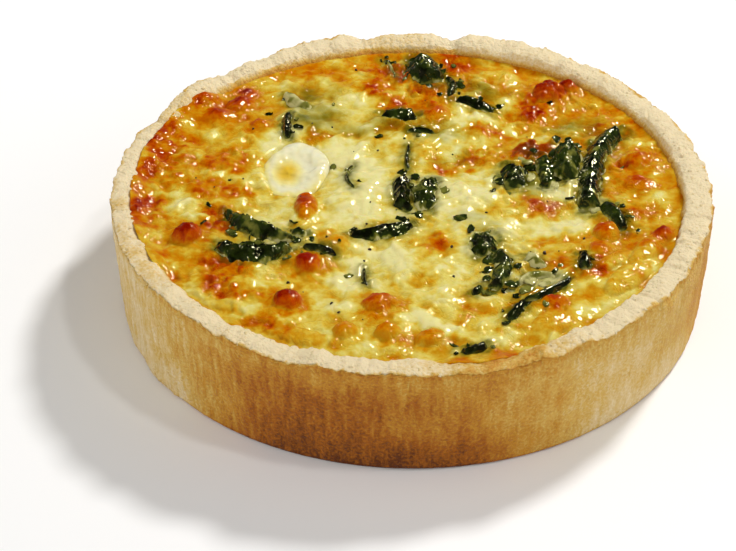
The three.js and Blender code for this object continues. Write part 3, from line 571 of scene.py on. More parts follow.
def tube_faces(rows, columns, first=0):
    """Quads between neighbouring rows of a surface that closes on itself from its last column to its first,
    with a fan from the first row to one pole and from the last row to another, which follow the grid."""
    r, c = np.meshgrid(np.arange(rows - 1), np.arange(columns), indexing="ij")
    n = (c + 1) % columns
    quads = np.stack([r * columns + c, r * columns + n, (r + 1) * columns + n, (r + 1) * columns + c], -1)
    c = np.arange(columns)
    n = (c + 1) % columns
    low = np.stack([n, c, np.full(columns, rows * columns)], -1)
    last = (rows - 1) * columns
    high = np.stack([last + c, last + n, np.full(columns, rows * columns + 1)], -1)
    return [tuple(f) for part in (quads.reshape(-1, 4), low, high) for f in part + first]


def square_quads(n):
    """The quads of a square grid of n by n cells, anticlockwise from above."""
    i, j = np.meshgrid(np.arange(n), np.arange(n), indexing="ij")
    corner = (i * (n + 1) + j).reshape(-1)
    return np.stack([corner, corner + n + 1, corner + n + 2, corner + 1], -1)


def put_tube(name, grid, values, poles=None):
    """A closed surface from a grid of points, rows by columns, with a pole before its first row and one
    after its last, each in the middle of its row unless given. The mean value of a pole's row is carried
    to it."""
    rows, columns, _ = grid.shape
    poles = grid[[0, -1]].mean(1) if poles is None else np.array(poles, float)
    points = np.concatenate([grid.reshape(-1, 3), poles])
    spread = {
        key: np.concatenate([value.reshape(-1), [value[0].mean(), value[-1].mean()]])
        for key, value in values.items()
    }
    return put_mesh(name, points, tube_faces(rows, columns), spread)


def dress(piece, material, node=None):
    """Gives a piece its material and slot, has it ride with the quiche and stand for its solid."""
    piece.data.materials.append(material)
    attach(piece, BODY)
    if node:
        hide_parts(node)


def feed(node, links):
    """Gives a node's inputs, by name or in order, each a socket to read or a plain value."""
    for key, source in links.items() if isinstance(links, dict) else enumerate(links):
        if isinstance(source, bpy.types.NodeSocket):
            node.id_data.links.new(source, node.inputs[key])
        else:
            node.inputs[key].default_value = source


def add_node(tree, kind, links=(), stops=(), output=0, **settings):
    """Adds one shader node and returns one of its outputs, or the node itself where it has none. links
    feeds its inputs, and stops gives a colour ramp its places and colours."""
    node = tree.nodes.new("ShaderNode" + kind)
    for key, value in settings.items():
        setattr(node, key, value)
    feed(node, links)
    for i, (place, rgb) in enumerate(stops):
        stop = node.color_ramp.elements[i] if i < 2 else node.color_ramp.elements.new(place)
        stop.position = place
        stop.color = (*rgb, 1)
    return node.outputs[output] if node.outputs else node


def new_material(name):
    """An empty node material: its tree, its object coordinates and its surface shader."""
    material = bpy.data.materials.new(name)
    material.use_nodes = True
    tree = material.node_tree
    tree.nodes.clear()
    place = add_node(tree, "TexCoord", output="Object")
    surface = add_node(tree, "BsdfPrincipled")
    add_node(tree, "OutputMaterial", {"Surface": surface})
    return material, tree, place, surface.node


def per_size(millimetres):
    """A pattern's scale whose features are that size."""
    return 1 / (millimetres * MM)


def shortcrust_material(s):
    """Shortcrust pastry, rolled, trimmed and baked in a tin: dry and matt, with a sandy crumb. Where the
    tin's wall dragged it, it has upright streaks, browner where the butter has fried it. Its darkness is
    the baked-in share, which also carries painted light and shade, plus streaks on the wall, grain and
    patches of heat."""
    material, tree, place, shader = new_material("baked_shortcrust")
    toast_and_shading, wall = (
        add_node(tree, "Attribute", output="Fac", attribute_name=name) for name in ("toast_and_shading", "wall")
    )
    # Upright streaks 0.9 mm apart and about 5 mm long
    drawn = add_node(tree, "Mapping", {"Vector": place, "Scale": (1, 1, 0.17)})
    streak = add_node(tree, "TexNoise", {"Vector": drawn, "Scale": per_size(0.9), "Detail": 3.0})
    # Flour and sugar grain, 0.55 mm
    grain = add_node(tree, "TexNoise", {"Vector": place, "Scale": per_size(0.55), "Detail": 2.0})
    # Uneven heat in the oven, 7 mm patches
    patch = add_node(tree, "TexNoise", {"Vector": place, "Scale": per_size(7), "Detail": 2.0})
    streaked = add_node(tree, "Math", (streak, wall), operation="MULTIPLY")
    with_streaks = add_node(tree, "Math", (streaked, 0.4, toast_and_shading), operation="MULTIPLY_ADD")
    # Grains take colour as they bake
    spread = add_node(tree, "Math", (toast_and_shading, 0.4, 0.36), operation="MULTIPLY_ADD")
    centred = add_node(tree, "Math", (grain, 0.5), operation="SUBTRACT")
    with_grain = add_node(tree, "Math", (centred, spread, with_streaks), operation="MULTIPLY_ADD")
    with_patches = add_node(tree, "Math", (patch, 0.2, with_grain), operation="MULTIPLY_ADD")
    baked = add_node(tree, "Math", (with_patches, 0.2), operation="SUBTRACT", use_clamp=True)
    steps = ((0.0, s.sand), (0.26, s.straw), (0.44, s.golden), (0.7, s.toasted), (1.0, s.scorched))
    base = add_node(tree, "ValToRGB", {"Fac": baked}, steps)
    # The grain stands out less where the rim was trimmed
    rubbed = add_node(tree, "Math", (wall, 0.85), operation="ADD")
    relief = add_node(tree, "Math", (grain, rubbed, streaked), operation="MULTIPLY_ADD")
    bump = add_node(tree, "Bump", {"Height": relief, "Strength": 0.9, "Distance": 0.5 * MM})
    # Fat glints where the grain stands out
    rough = add_node(tree, "MapRange", (grain, 0.55, 0.7, 0.75, 0.36))
    feed(shader, {
        "Base Color": base,
        "Normal": bump,
        "Roughness": rough,
        "IOR": 1.45,
        "Specular IOR Level": 0.3,
        "Subsurface Weight": 0.12,
        "Subsurface Radius": (1.0, 0.6, 0.3),
        "Subsurface Scale": 0.9 * MM,
    })
    return material


def filling_material(s):
    """Egg custard and grated cheese, baked until the cheese ran and browned: wet with its own fat, so it is
    glossy and lets light in a little. Its colour follows the heat, which also carries a little painted shade
    in the crease at the pastry and painted light through the near side of the beads, with strands and
    mottling added, from white through amber to red-brown."""
    material, tree, place, shader = new_material("baked_custard_and_cheese")
    heat, green, crust = (
        add_node(tree, "Attribute", output="Fac", attribute_name=name) for name in ("bake_and_shading", "green", "crust")
    )
    # Strands of cheese that have run together, 2.4 mm, and fine mottling, 0.7 mm
    strand_size = {"Vector": place, "Scale": per_size(2.4), "Detail": 2.0, "Distortion": 1.2}
    strand = add_node(tree, "TexNoise", strand_size)
    mottle = add_node(tree, "TexNoise", {"Vector": place, "Scale": per_size(0.7), "Detail": 2.0})
    with_strands = add_node(tree, "Math", (strand, 0.36, heat), operation="MULTIPLY_ADD")
    with_mottle = add_node(tree, "Math", (mottle, 0.18, with_strands), operation="MULTIPLY_ADD")
    baked = add_node(tree, "Math", (with_mottle, 0.27), operation="SUBTRACT", use_clamp=True)
    steps = (s.white, s.cream, s.custard, s.golden, s.amber, s.browned, s.charred)
    stops = zip((0.04, 0.2, 0.36, 0.49, 0.635, 0.8, 1.0), steps)
    base = add_node(tree, "ValToRGB", {"Fac": baked}, stops)
    # 0, 6 and 7 are the Mix node's share and its two colours, and output 2 is its colour
    tinted = add_node(tree, "Mix", {0: green, 6: base, 7: (*s.green, 1)}, output=2, data_type="RGBA")
    # Creases where strands meet, 1.8 mm apart, give the streaks of light
    crease_size = {"Vector": place, "Scale": per_size(1.8), "Detail": 1.0, "Distortion": 1.2}
    fold = add_node(tree, "TexNoise", crease_size)
    middle = add_node(tree, "Math", (fold, 0.5), operation="SUBTRACT")
    crease = add_node(tree, "Math", (middle,), operation="ABSOLUTE")
    # Small blisters in the crust where it has browned, 1.1 mm
    bubble = add_node(tree, "TexVoronoi", {"Vector": place, "Scale": per_size(1.1)})
    popped = add_node(tree, "Math", (bubble, crust), operation="MULTIPLY")
    both = add_node(tree, "Math", (crease, 2.2, popped), operation="MULTIPLY_ADD")
    # The skin is creased in places and drawn smooth in pools between, 6 mm
    calm = add_node(tree, "TexNoise", {"Vector": place, "Scale": per_size(6), "Detail": 1.0})
    creased = add_node(tree, "MapRange", (calm, 0.4, 0.6, 0.1, 0.9))
    # White cheese has run smooth
    firm = add_node(tree, "MapRange", (heat, 0.04, 0.3, 0.3, 1.0))
    depth = add_node(tree, "Math", (creased, firm), operation="MULTIPLY")
    bump = add_node(tree, "Bump", {"Height": both, "Strength": depth, "Distance": 0.2 * MM}, invert=True)
    rough = add_node(tree, "MapRange", (strand, 0.3, 0.7, 0.05, 0.12))
    feed(shader, {
        "Base Color": tinted,
        "Normal": bump,
        "Roughness": rough,
        "IOR": 1.45,
        "Specular IOR Level": 0.4,
        "Specular Tint": (1.0, 0.82, 0.42, 1),
        "Subsurface Weight": 0.3,
        "Subsurface Radius": (1.0, 0.5, 0.12),
        "Subsurface Scale": 1.2 * MM,
    })
    return material


def soft_cheese_material(s):
    """A slice of soft white cheese, melted smooth: milky, wet, and yellow where custard has pooled on it."""
    material, tree, place, shader = new_material("melted_soft_cheese")
    pooled = add_node(tree, "Attribute", output="Fac", attribute_name="pooled")
    # Faint clouds in it, 3 mm
    cloud = add_node(tree, "TexNoise", {"Vector": place, "Scale": per_size(3), "Detail": 3.0})
    share = add_node(tree, "Math", (cloud, 0.3, pooled), operation="MULTIPLY_ADD")
    steps = ((0.1, s.white), (0.5, linear("#E4D688")), (1.0, linear("#DCB638")))
    base = add_node(tree, "ValToRGB", {"Fac": share}, steps)
    # Soft ripples left as it melted, 1.4 mm
    ripple = add_node(tree, "TexNoise", {"Vector": place, "Scale": per_size(1.4), "Detail": 0.0})
    bump = add_node(tree, "Bump", {"Height": ripple, "Strength": 0.7, "Distance": 0.5 * MM})
    feed(shader, {
        "Base Color": base,
        "Normal": bump,
        "Roughness": 0.16,
        "IOR": 1.45,
        "Subsurface Weight": 0.35,
        "Subsurface Radius": (1.0, 0.7, 0.4),
        "Subsurface Scale": 1.6 * MM,
    })
    return material


def spinach_material(s):
    """Spinach, wilted and baked wet: almost black green where it is folded, green where it is one leaf
    thick, pale where custard films it, and glossy with fat over fine wrinkles."""
    material, tree, place, shader = new_material("wilted_spinach")
    pale = add_node(tree, "Attribute", output="Fac", attribute_name="pale")
    # The net of veins, 1.2 mm, and uneven colour, 2.5 mm
    vein_size = {"Vector": place, "Scale": per_size(1.2), "Detail": 0.0, "Distortion": 0.8}
    vein = add_node(tree, "TexNoise", vein_size)
    patch = add_node(tree, "TexNoise", {"Vector": place, "Scale": per_size(2.5), "Detail": 2.0})
    with_patches = add_node(tree, "Math", (patch, 0.9, pale), operation="MULTIPLY_ADD")
    tone = add_node(tree, "Math", (with_patches, 0.42), operation="SUBTRACT", use_clamp=True)
    steps = ((0.0, s.dark), (0.4, s.leaf), (0.75, s.pale), (1.0, s.film))
    base = add_node(tree, "ValToRGB", {"Fac": tone}, steps)
    bump = add_node(tree, "Bump", {"Height": vein, "Strength": 0.7, "Distance": 0.3 * MM})
    feed(shader, {
        "Base Color": base,
        "Normal": bump,
        "Roughness": 0.08,
        "IOR": 1.5,
        "Specular IOR Level": 0.8,
        "Specular Tint": (1.0, 0.92, 0.5, 1),
    })
    return material


def pepper_material():
    """Coarsely ground black pepper: nearly black husk with a few brown faces."""
    material, tree, place, shader = new_material("ground_pepper")
    # Flecks of the kernel, 0.5 mm
    fleck = add_node(tree, "TexNoise", {"Vector": place, "Scale": per_size(0.5)})
    steps = ((0.35, linear("#0E0906")), (0.8, linear("#4A2C14")))
    base = add_node(tree, "ValToRGB", {"Fac": fleck}, steps)
    feed(shader, {"Base Color": base, "Roughness": 0.45})
    return material


def case_rows(angle, s):
    """The pastry's section at every angle, as rows of radius and height from the foot over the rim to the
    inner floor, and what each row is: 0 the wall, 1 the trimmed top, 2 the inside. The foot and the rim's
    outer edge are quarter circles. The wall leans out in a straight line, with waves on it and the rim's
    breaks near its top. The trimmed top is slightly crowned and falls off inwards, and the inside drops in
    an easing curve below the filling."""
    degrees = np.degrees(angle)
    base, edge, tall, floor = (size / MM for size in (s.base_radius, s.base_edge, s.height, s.floor))
    ring = around(NOISE_RING, angle, 0)
    # Chips are noise rounded to a few steps
    chipped = np.round(2.2 * noise(ring, CHIP_SIZE, 31)) / 2.2
    top = rim_top(angle, s) + CHIP_DEPTH * chipped + TOP_CRUMB_DEPTH * layered(ring, TOP_CRUMB_SIZE, 3, 41)
    push = waves(WALL_WAVES, angle)
    inward = bumps(RIM_BREAKS, degrees, 3) + NOTCH_DEPTH * np.round(2.4 * noise(ring, NOTCH_SIZE, 57)) / 2.4
    inward += EDGE_CRUMB_DEPTH * np.abs(layered(ring, EDGE_CRUMB_SIZE, 3, 59))
    foot_rows, wall_rows, top_rows, inside_rows = CASE_ROWS
    rows = []
    for turn in np.linspace(0, math.pi / 2, foot_rows + 1)[:-1]:
        rows.append((base - edge * (1 - math.sin(turn)), edge * (1 - math.cos(turn)), 0))
    for share in 1 - (1 - np.linspace(edge / tall, 1 - LIP / tall, wall_rows)) ** 1.15:
        bulge = push * (0.5 + 0.5 * np.sin(3.1 * share + 2 * angle))
        pinch = inward * smooth(0.88, 1, share)
        rows.append((base + (s.rim_radius / MM - base) * share + bulge - pinch, share * top, 0))
    rim = rows[-1][0]
    for share in (0.35, 0.7, 1.0):
        turn = share * math.pi / 2
        rows.append((rim - LIP * (1 - math.cos(turn)), top - LIP * (1 - math.sin(turn)), share))
    inside = np.interp(degrees, *np.array(RIM_INSIDE).T, period=360) - 0.35 * layered(ring, 2.6, 2, 73)
    for share in np.linspace(0, 1, top_rows + 1)[1:]:
        crown = 0.2 * math.sin(math.pi * share) - 0.35 * share**3
        rows.append(((rim - LIP) * (1 - share) + inside * share, top + crown, 1))
    brim, deep = s.inner_radius / MM - 0.3, s.edge / MM - 0.9
    for share in np.linspace(0, 1, inside_rows + 1)[1:]:
        slope = inside + (brim - inside) * share**0.85
        drop = (top - 0.35) * (1 - share**1.25) + deep * share**1.25
        rows.append((slope, drop, 1 + smooth(-0.1, 0.25, share)))
    rows.append((brim - 0.5, 0.5 * (deep + floor), 2))
    rows.append((brim - 1.1, floor, 2))
    return rows


class QUICHE_OT_case(bpy.types.Operator):
    """Makes the crumbly pastry case as a section carried round, with relief along its normals"""

    bl_idname = "quiche.case"
    bl_label = "Pastry case"

    def execute(self, context):
        s = context.scene.quiche_case
        tall, filled = s.height / MM, s.edge / MM
        angle = np.arange(s.columns) * TURN / s.columns
        degrees = np.degrees(angle)
        rows = [[np.broadcast_to(value, angle.shape) for value in row] for row in case_rows(angle, s)]
        radius, height, part = np.array(rows).swapaxes(0, 1)
        grid = around(radius, angle, height)
        # The normals, from the differences between neighbours up and round
        normal = np.cross(np.roll(grid, -1, 1) - np.roll(grid, 1, 1), np.gradient(grid, axis=0))
        normal /= np.maximum(np.linalg.norm(normal, axis=-1, keepdims=True), 1e-9)
        # Crumb on the trimmed top, upright streaks and a slow ripple on the wall
        wall = 1 - smooth(0, 0.6, part)
        drawn = grid * (1, 1, 0.2)
        crumb = 0.9 * layered(grid, 2.6, 3, 11) + 0.6 * np.abs(noise(grid, 1.2, 19))
        relief = s.crumb / MM * crumb * (1 - 0.55 * wall)
        relief += s.streak / MM * wall * layered(drawn, 1.2, 2, 23)
        relief += wall * (0.14 * layered(grid, 6, 2, 29) + 0.05 * noise(grid, 1.3, 27))
        relief *= smooth(0.0, 0.9, height) * np.where(part < 1.5, 1, smooth(20, 22, height))
        grid = grid + normal * relief[..., None]
        # Baking, with painted light and shade: by the table on the wall, sandy on top, golden to brown down
        # the inside, darkening over the last 1.5 mm down to the filling line as painted shade in the crease
        # there
        table = np.array(WALL_BAKE_AND_SHADING).T
        high, middle, low, drag = (np.interp(degrees, table[0], line, period=360) for line in table[1:])
        share = height / tall
        upper = middle + (high - middle) * smooth(0.6, 1, share)
        lower = low + (middle - low) * smooth(0.05, 0.45, share)
        wall_toast_and_shading = np.where(share > 0.5, upper, lower)
        wall_toast_and_shading += 0.05 * layered(grid, 6, 3, 37) + drag * (0.1 * layered(drawn, 1.6, 3, 39) - 0.04)
        # Darker in a band just under the rim, and in a dark line at the very foot that is partly its browned
        # edge and partly painted contact shadow
        wall_toast_and_shading += 0.1 * smooth(0.9, 0.99, share) + 0.35 * np.exp(-((height / 0.45) ** 2))
        top_toast = 0.03 + bumps(RIM_BAKE, degrees, 2) * (1 + 0.5 * layered(grid, 2.4, 2, 43)) + 0.05 * crumb
        inner_toast_and_shade = 0.16 + 0.45 * smooth(filled + 1.3, filled - 0.2, height)
        # The trimmed top begins along a crumbly line about the rim's outer edge
        outer = radius[part[:, 0] == 0][-1]
        along = np.where(part <= 0, height - rim_top(angle, s), outer - radius)
        edge = smooth(-0.5, 0.5, along + 0.9 * layered(grid, 3.6, 3, 47) - 0.2)
        inside = smooth(0.95, 1.5, part + 0.2 * noise(grid, 2, 53))
        toast_and_shading = wall_toast_and_shading * (1 - edge) + (top_toast * (1 - inside) + inner_toast_and_shade * inside) * edge
        values = {"toast_and_shading": np.clip(toast_and_shading, 0, 1), "wall": wall * drag}
        piece = put_tube("pastry", grid, values, ((0, 0, 0), (0, 0, s.floor / MM)))
        material = shortcrust_material(s)
        dress(piece, material, "pastry_case")
        # Crumbs that cling to the trimmed top, 3 in 10 of them on its outermost rows, sunk by a quarter of
        # their size
        random = np.random.default_rng(43)
        count = s.crumbs
        first = int((part[:, 0] == 0).sum())
        outermost = random.random(count) < 0.3
        row = first + np.where(outermost, random.integers(2, 5, count), random.integers(2, 19, count))
        column = random.integers(0, s.columns, count)
        size = random.uniform(0.35, 1.15, count) ** 1.5
        places = grid[row, column] - normal[row, column] * 0.24 * size[:, None]
        points, faces = grains(random, places, size)
        tone = toast_and_shading[np.maximum(row, first + 4), column] + random.uniform(-0.04, 0.08, count)
        tone = np.repeat(np.clip(tone, 0, 1), len(points) // count)
        piece = put_mesh("rim_crumbs", points, faces, {"toast_and_shading": tone, "wall": 0 * tone})
        dress(piece, material)
        return {"FINISHED"}


def strands(x, y, seed):
    """Shreds of melted cheese: short bent capsules laid at random, each a mound whose height falls with the
    square of the distance from its bent middle line. Their height at each place, and how much paler they
    make it."""
    random = np.random.default_rng(seed)
    height = np.zeros_like(x)
    tint = np.zeros_like(x)
    for _ in range(SHREDS):
        out = SHREDS_REACH * math.sqrt(random.random())
        at = TURN * random.random()
        turn = math.pi * random.random()
        half = random.uniform(1.0, 5.0)
        width = random.uniform(0.6, 1.5)
        rise = random.uniform(0.2, 0.75)
        bend = random.uniform(-0.4, 0.4) * half
        tone = random.uniform(-0.5, 0.6)
        dx = x - out * math.cos(at)
        dy = y - out * math.sin(at)
        near = dx**2 + dy**2 < (half + width + 1) ** 2
        ahead, aside = turned(dx[near], dy[near], turn)
        aside = aside - bend * (1 - (ahead / half) ** 2)
        away = np.hypot(np.maximum(np.abs(ahead) - half, 0), aside) / width
        mound = np.clip(1 - away**2, 0, 1)
        height[near] = np.maximum(height[near], rise * mound**0.75)
        tint[near] += tone * smooth(0, 0.6, mound) * (1 - np.abs(tint[near]))
    return height, tint


def filling_relief(x, y, s, case):
    """The filling's top at places x, y: its height, how far it has baked, with a little painted shade and
    light added, and how green it is. The smooth level carries curds of melted cheese, shreds, beads, blisters
    where it has browned and a wrinkled skin, all added up. Leaves and the round press it flat, and at the
    pastry it runs into the brim."""
    points = flat(x, y)
    out = np.hypot(x, y)
    angle = np.arctan2(y, x)
    outside = leaf_cover(x, y)
    wander = np.stack([layered(points, WANDER_SIZE, 3, seed) for seed in (61, 67)])
    jitter = np.stack([noise(points, JITTER_SIZE, seed) for seed in (62, 68)])
    # The ovals of the tables, their outlines bent
    bent = (x, y) + 1.5 * wander + 0.55 * jitter
    browned, creamy, green = (
        spots(*bent, table, crisp) for table, crisp in ((BROWNED, 1.6), (CREAMY, 1.6), (GREENED, 1.25))
    )

    # Shreds, curds, coarse and fine blisters, and the wrinkled skin, liveliest on the left
    shred, tint = strands(*((x, y) + 0.3 * jitter), 5)
    curd = layered(points + 1.2 * np.stack([*wander[::-1], 0 * x], -1), CURD_SIZE, 2, 71)
    away, share = cells(*((x, y) + 0.35 * jitter), BLISTER_SIZE, 79)
    dome = np.sqrt(np.clip(1 - (away / (0.3 + 0.3 * share)) ** 2, 0, 1)) * (0.3 + 0.7 * share)
    fine_away, fine_share = cells(*((x, y) + 0.2 * jitter), FINE_BLISTER_SIZE, 83)
    fine_dome = np.sqrt(np.clip(1 - (fine_away / 0.55) ** 2, 0, 1)) * fine_share
    crusted = smooth(0.14, 0.4, browned)
    stirred = noise(points, LIVELY_SIZE, 97) + 0.35 * smooth(-22, -40, x) - 0.2 * smooth(20, 40, x)
    lively = 0.3 + 1.3 * smooth(-0.1, 0.5, stirred)
    skin = layered(points, WRINKLE_SIZE, 2, 89)

    # Creamy pools have run smooth, and stand a little proud
    run = 1 - 0.75 * smooth(0.08, 0.26, creamy)
    relief = CURD_RISE * curd + SHRED_RISE * shred * (1 - 1.2 * creamy) + CREAMY_RISE * creamy
    relief += s.blister / MM * (dome + 0.6 * fine_dome) * (0.12 + 0.88 * crusted) * run
    relief += s.wrinkle / MM * skin * lively * run

    # Beads: a dome on a low foot, browned in a core set towards the far left of its top, its near side
    # painted lighter as light shining through it, in a faint browned halo
    bead, bead_heat_and_shading, halo = np.zeros((3, *x.shape))
    for px, py, along, across, rise, heading, tone in BEADS:
        away = oval(*((x, y) + 0.4 * wander + 0.35 * jitter), (px, py), 1.08 * along, 1.08 * across, heading)
        mound = 0.5 * rise * np.clip(1 - away**2, 0, 1) ** 0.6 + 0.16 * rise * np.exp(-((away / 1.4) ** 4))
        bead = np.maximum(bead, mound * (1 + 0.12 * fine_dome + 0.12 * skin))
        core = oval(x, y, (px - 0.25 * across, py + 0.25 * across), 0.8 * along, 0.8 * across, heading)
        mark = 0.38 + 0.28 * tone + 0.42 * tone * np.exp(-(core**2)) * (1 + 0.5 * wander[1])
        mark = mark * (1 - smooth(0.9, 1.25, away)) + 0.08 * jitter[0]
        bead_heat_and_shading = np.maximum(bead_heat_and_shading, mark)
        halo = np.maximum(halo, tone * np.exp(-(((away - 1.25) / 0.5) ** 2)))
    relief = np.maximum(relief, (1 - 0.75 * smooth(0.1, 0.6, bead)) * relief + bead)

    # Under leaves and the round it is flat, round a leaf it has crept up, and at the pastry it meets the brim
    buried = 1 - smooth(-0.9, 0.4, outside)
    under = smooth(1.05, 0.9, oval(x, y, ROUND_AT, ROUND_RADIUS, ROUND_STRETCH * ROUND_RADIUS, 0))
    relief = relief * (1 - buried) * (1 - under) - 0.5 * under + 0.2 * np.exp(-(((outside - 0.4) / 0.7) ** 2))
    radius = s.radius / MM
    reach = radius + bumps(OVERFLOWS, np.degrees(angle), 2)
    over = smooth(0.3, 1.4, reach - radius)
    edge = smooth(-2.2 - 3.5 * over, -0.1, out - reach)
    brim = (s.edge / MM) * (1 - over) + (rim_top(angle, case) - 0.2) * over
    height = filling_level(x, y, s) * (1 - edge) + brim * edge + relief * (1 - edge * (0.8 - 0.45 * over))

    # Heat: more towards the pastry and at the back, more on the table's browned places, less in pools
    mottle = layered(points, MOTTLE_SIZE, 3, 107)
    fine = layered(points, FINE_MOTTLE_SIZE, 3, 109)
    heat = 0.22 + 0.22 * smooth(18, 46, out) * (0.85 + 0.3 * np.cos(angle - math.radians(60)))
    heat += browned * (1.3 - 1.3 * heat) * (1.0 + 0.4 * mottle + 0.35 * fine) - creamy * (0.9 + 0.3 * mottle)
    heat += (0.2 * mottle - 0.22 * curd + 0.04 * fine - 0.15 * tint) * (1 - 0.5 * crusted)
    # Blister tops browner; the band next to the pastry a little darker, painted shade in the crease there,
    # and browner where it ran over the rim
    heat += 0.2 * crusted * (dome * share - 0.25) + 0.06 * edge + 0.06 * over * edge
    heat += 0.16 * halo * (heat < 0.5)
    heat = np.maximum(heat, bead_heat_and_shading)
    # Green from the table, and where a leaf has stained the custard next to it
    stain = 0.6 * np.exp(-((np.clip(outside, 0, 9) / 1.1) ** 2))
    green = np.maximum(green * (0.9 + 0.9 * mottle), stain * (1 + 0.8 * fine))
    green = green * (1 - smooth(0.45, 0.7, bead_heat_and_shading))
    return height, {"bake_and_shading": np.clip(heat, 0, 1), "green": np.clip(green, 0, 0.9), "crust": 0.5 * crusted}


class QUICHE_OT_filling(bpy.types.Operator):
    """Makes the filling: a square grid drawn out to a disc, its relief, its side and its underside"""

    bl_idname = "quiche.filling"
    bl_label = "Filling"

    def execute(self, context):
        s = context.scene.quiche_filling
        n = s.columns
        # A square grid drawn to a disc: x is u times the root of 1 - v squared / 2, and y likewise
        u, v = np.meshgrid(np.linspace(-1, 1, n + 1), np.linspace(-1, 1, n + 1), indexing="ij")
        x = u * np.sqrt(1 - v**2 / 2)
        y = v * np.sqrt(1 - u**2 / 2)
        over = bumps(OVERFLOWS, np.degrees(np.arctan2(y, x)), 2) * smooth(0.8, 1, np.hypot(x, y))
        x, y = (x, y) * (s.radius / MM + over)
        height, values = filling_relief(x, y, s, context.scene.quiche_case)
        top = np.stack([x, y, height], -1).reshape(-1, 3)
        # The outline, anticlockwise from above, and rings of points at shares of the way to its foot
        k = np.arange(n)
        loop = np.concatenate([k * (n + 1), n * (n + 1) + k, (n - k) * (n + 1) + n, n - k])
        rim = top[loop]
        foot = rim / np.hypot(*rim[:, :2].T)[:, None] * (s.foot_radius / MM) * (1, 1, 0) + (0, 0, s.foot / MM)
        rings = [rim * (1 - share) + foot * share for share in (0.04, 0.15, 1.0)]
        each = np.arange(len(loop))
        after = (each + 1) % len(loop)
        starts = [loop] + [len(top) + ring * len(loop) + each for ring in range(len(rings))]
        sides = [np.stack([b, b[after], a[after], a], -1) for a, b in zip(starts, starts[1:])]
        pole = len(top) + len(rings) * len(loop)
        under = np.stack([starts[-1][after], starts[-1], np.full(len(loop), pole)], -1)
        points = np.concatenate([top, *rings, [(0, 0, s.foot / MM)]])
        faces = [tuple(f) for part in (square_quads(n), *sides, under) for f in part]
        spread = {
            key: np.concatenate([value.reshape(-1)] + [value.reshape(-1)[loop]] * len(rings) + [[0.0]])
            for key, value in values.items()
        }
        piece = put_mesh("filling", points, faces, spread)
        dress(piece, filling_material(s), "custard_filling")
        return {"FINISHED"}


class QUICHE_OT_round(bpy.types.Operator):
    """Makes the melted round of soft cheese: its section carried round, melted out of true"""

    bl_idname = "quiche.round"
    bl_label = "Cheese round"

    def execute(self, context):
        s = context.scene.quiche_spinach
        middle = np.array(ROUND_AT, float)
        share, rise = np.array(ROUND_SECTION, float).T
        run = np.concatenate([[0], np.cumsum(np.hypot(np.diff(share) * ROUND_RADIUS, np.diff(rise)))])
        at = np.linspace(0, 1, ROUND_ROWS + 2)[1:-1] * run[-1]
        angle = np.arange(ROUND_COLUMNS) * TURN / ROUND_COLUMNS
        # The section, evenly spaced along its run, its corners rounded by a running mean
        kernel = np.hanning(7) / np.hanning(7).sum()
        evenly = (np.pad(np.interp(at, run, line), 3, "edge") for line in (share, rise))
        share, rise = (np.convolve(line, kernel, "valid")[:, None] for line in evenly)
        melt = 1 + 0.06 * np.sin(2 * angle - 0.5) + 0.03 * np.sin(5 * angle)
        radius = share * melt * ROUND_RADIUS
        x = middle[0] + radius * np.cos(angle) + ROUND_DISH[0] * (1 - share)
        y = middle[1] + ROUND_STRETCH * radius * np.sin(angle) + ROUND_DISH[1] * (1 - share)
        level = filling_level(*middle, context.scene.quiche_filling)
        # It stands highest on its far right side and runs out into the custard towards the viewer
        stands = smooth(-1, 1, np.cos(angle - math.radians(65)) + 0.2 * np.cos(3 * angle))
        lump = 0.3 * layered(flat(x, y), 3.2, 2, 127) * (smooth(-0.4, 0.3, rise) * smooth(0, 0.3, share))
        z = level + np.minimum(rise, 0) + np.maximum(rise, 0) * (0.25 + 1.15 * stands) + lump
        # Custard has pooled in its dish and run over its low edge
        dish = 0.85 * np.exp(-(oval(x, y, middle + (-1.8, -0.8), 2.8, 3.8, 0) ** 3))
        edge = 0.5 * smooth(0.62, 1, share) * (1 - stands) ** 0.6 + 0.1 * noise(flat(x, y), 2, 131)
        pooled = np.clip(np.maximum(dish, edge), 0, 1)
        piece = put_tube("soft_cheese", np.stack([x, y, z], -1), {"pooled": pooled})
        dress(piece, soft_cheese_material(s), "cheese_round")
        return {"FINISHED"}


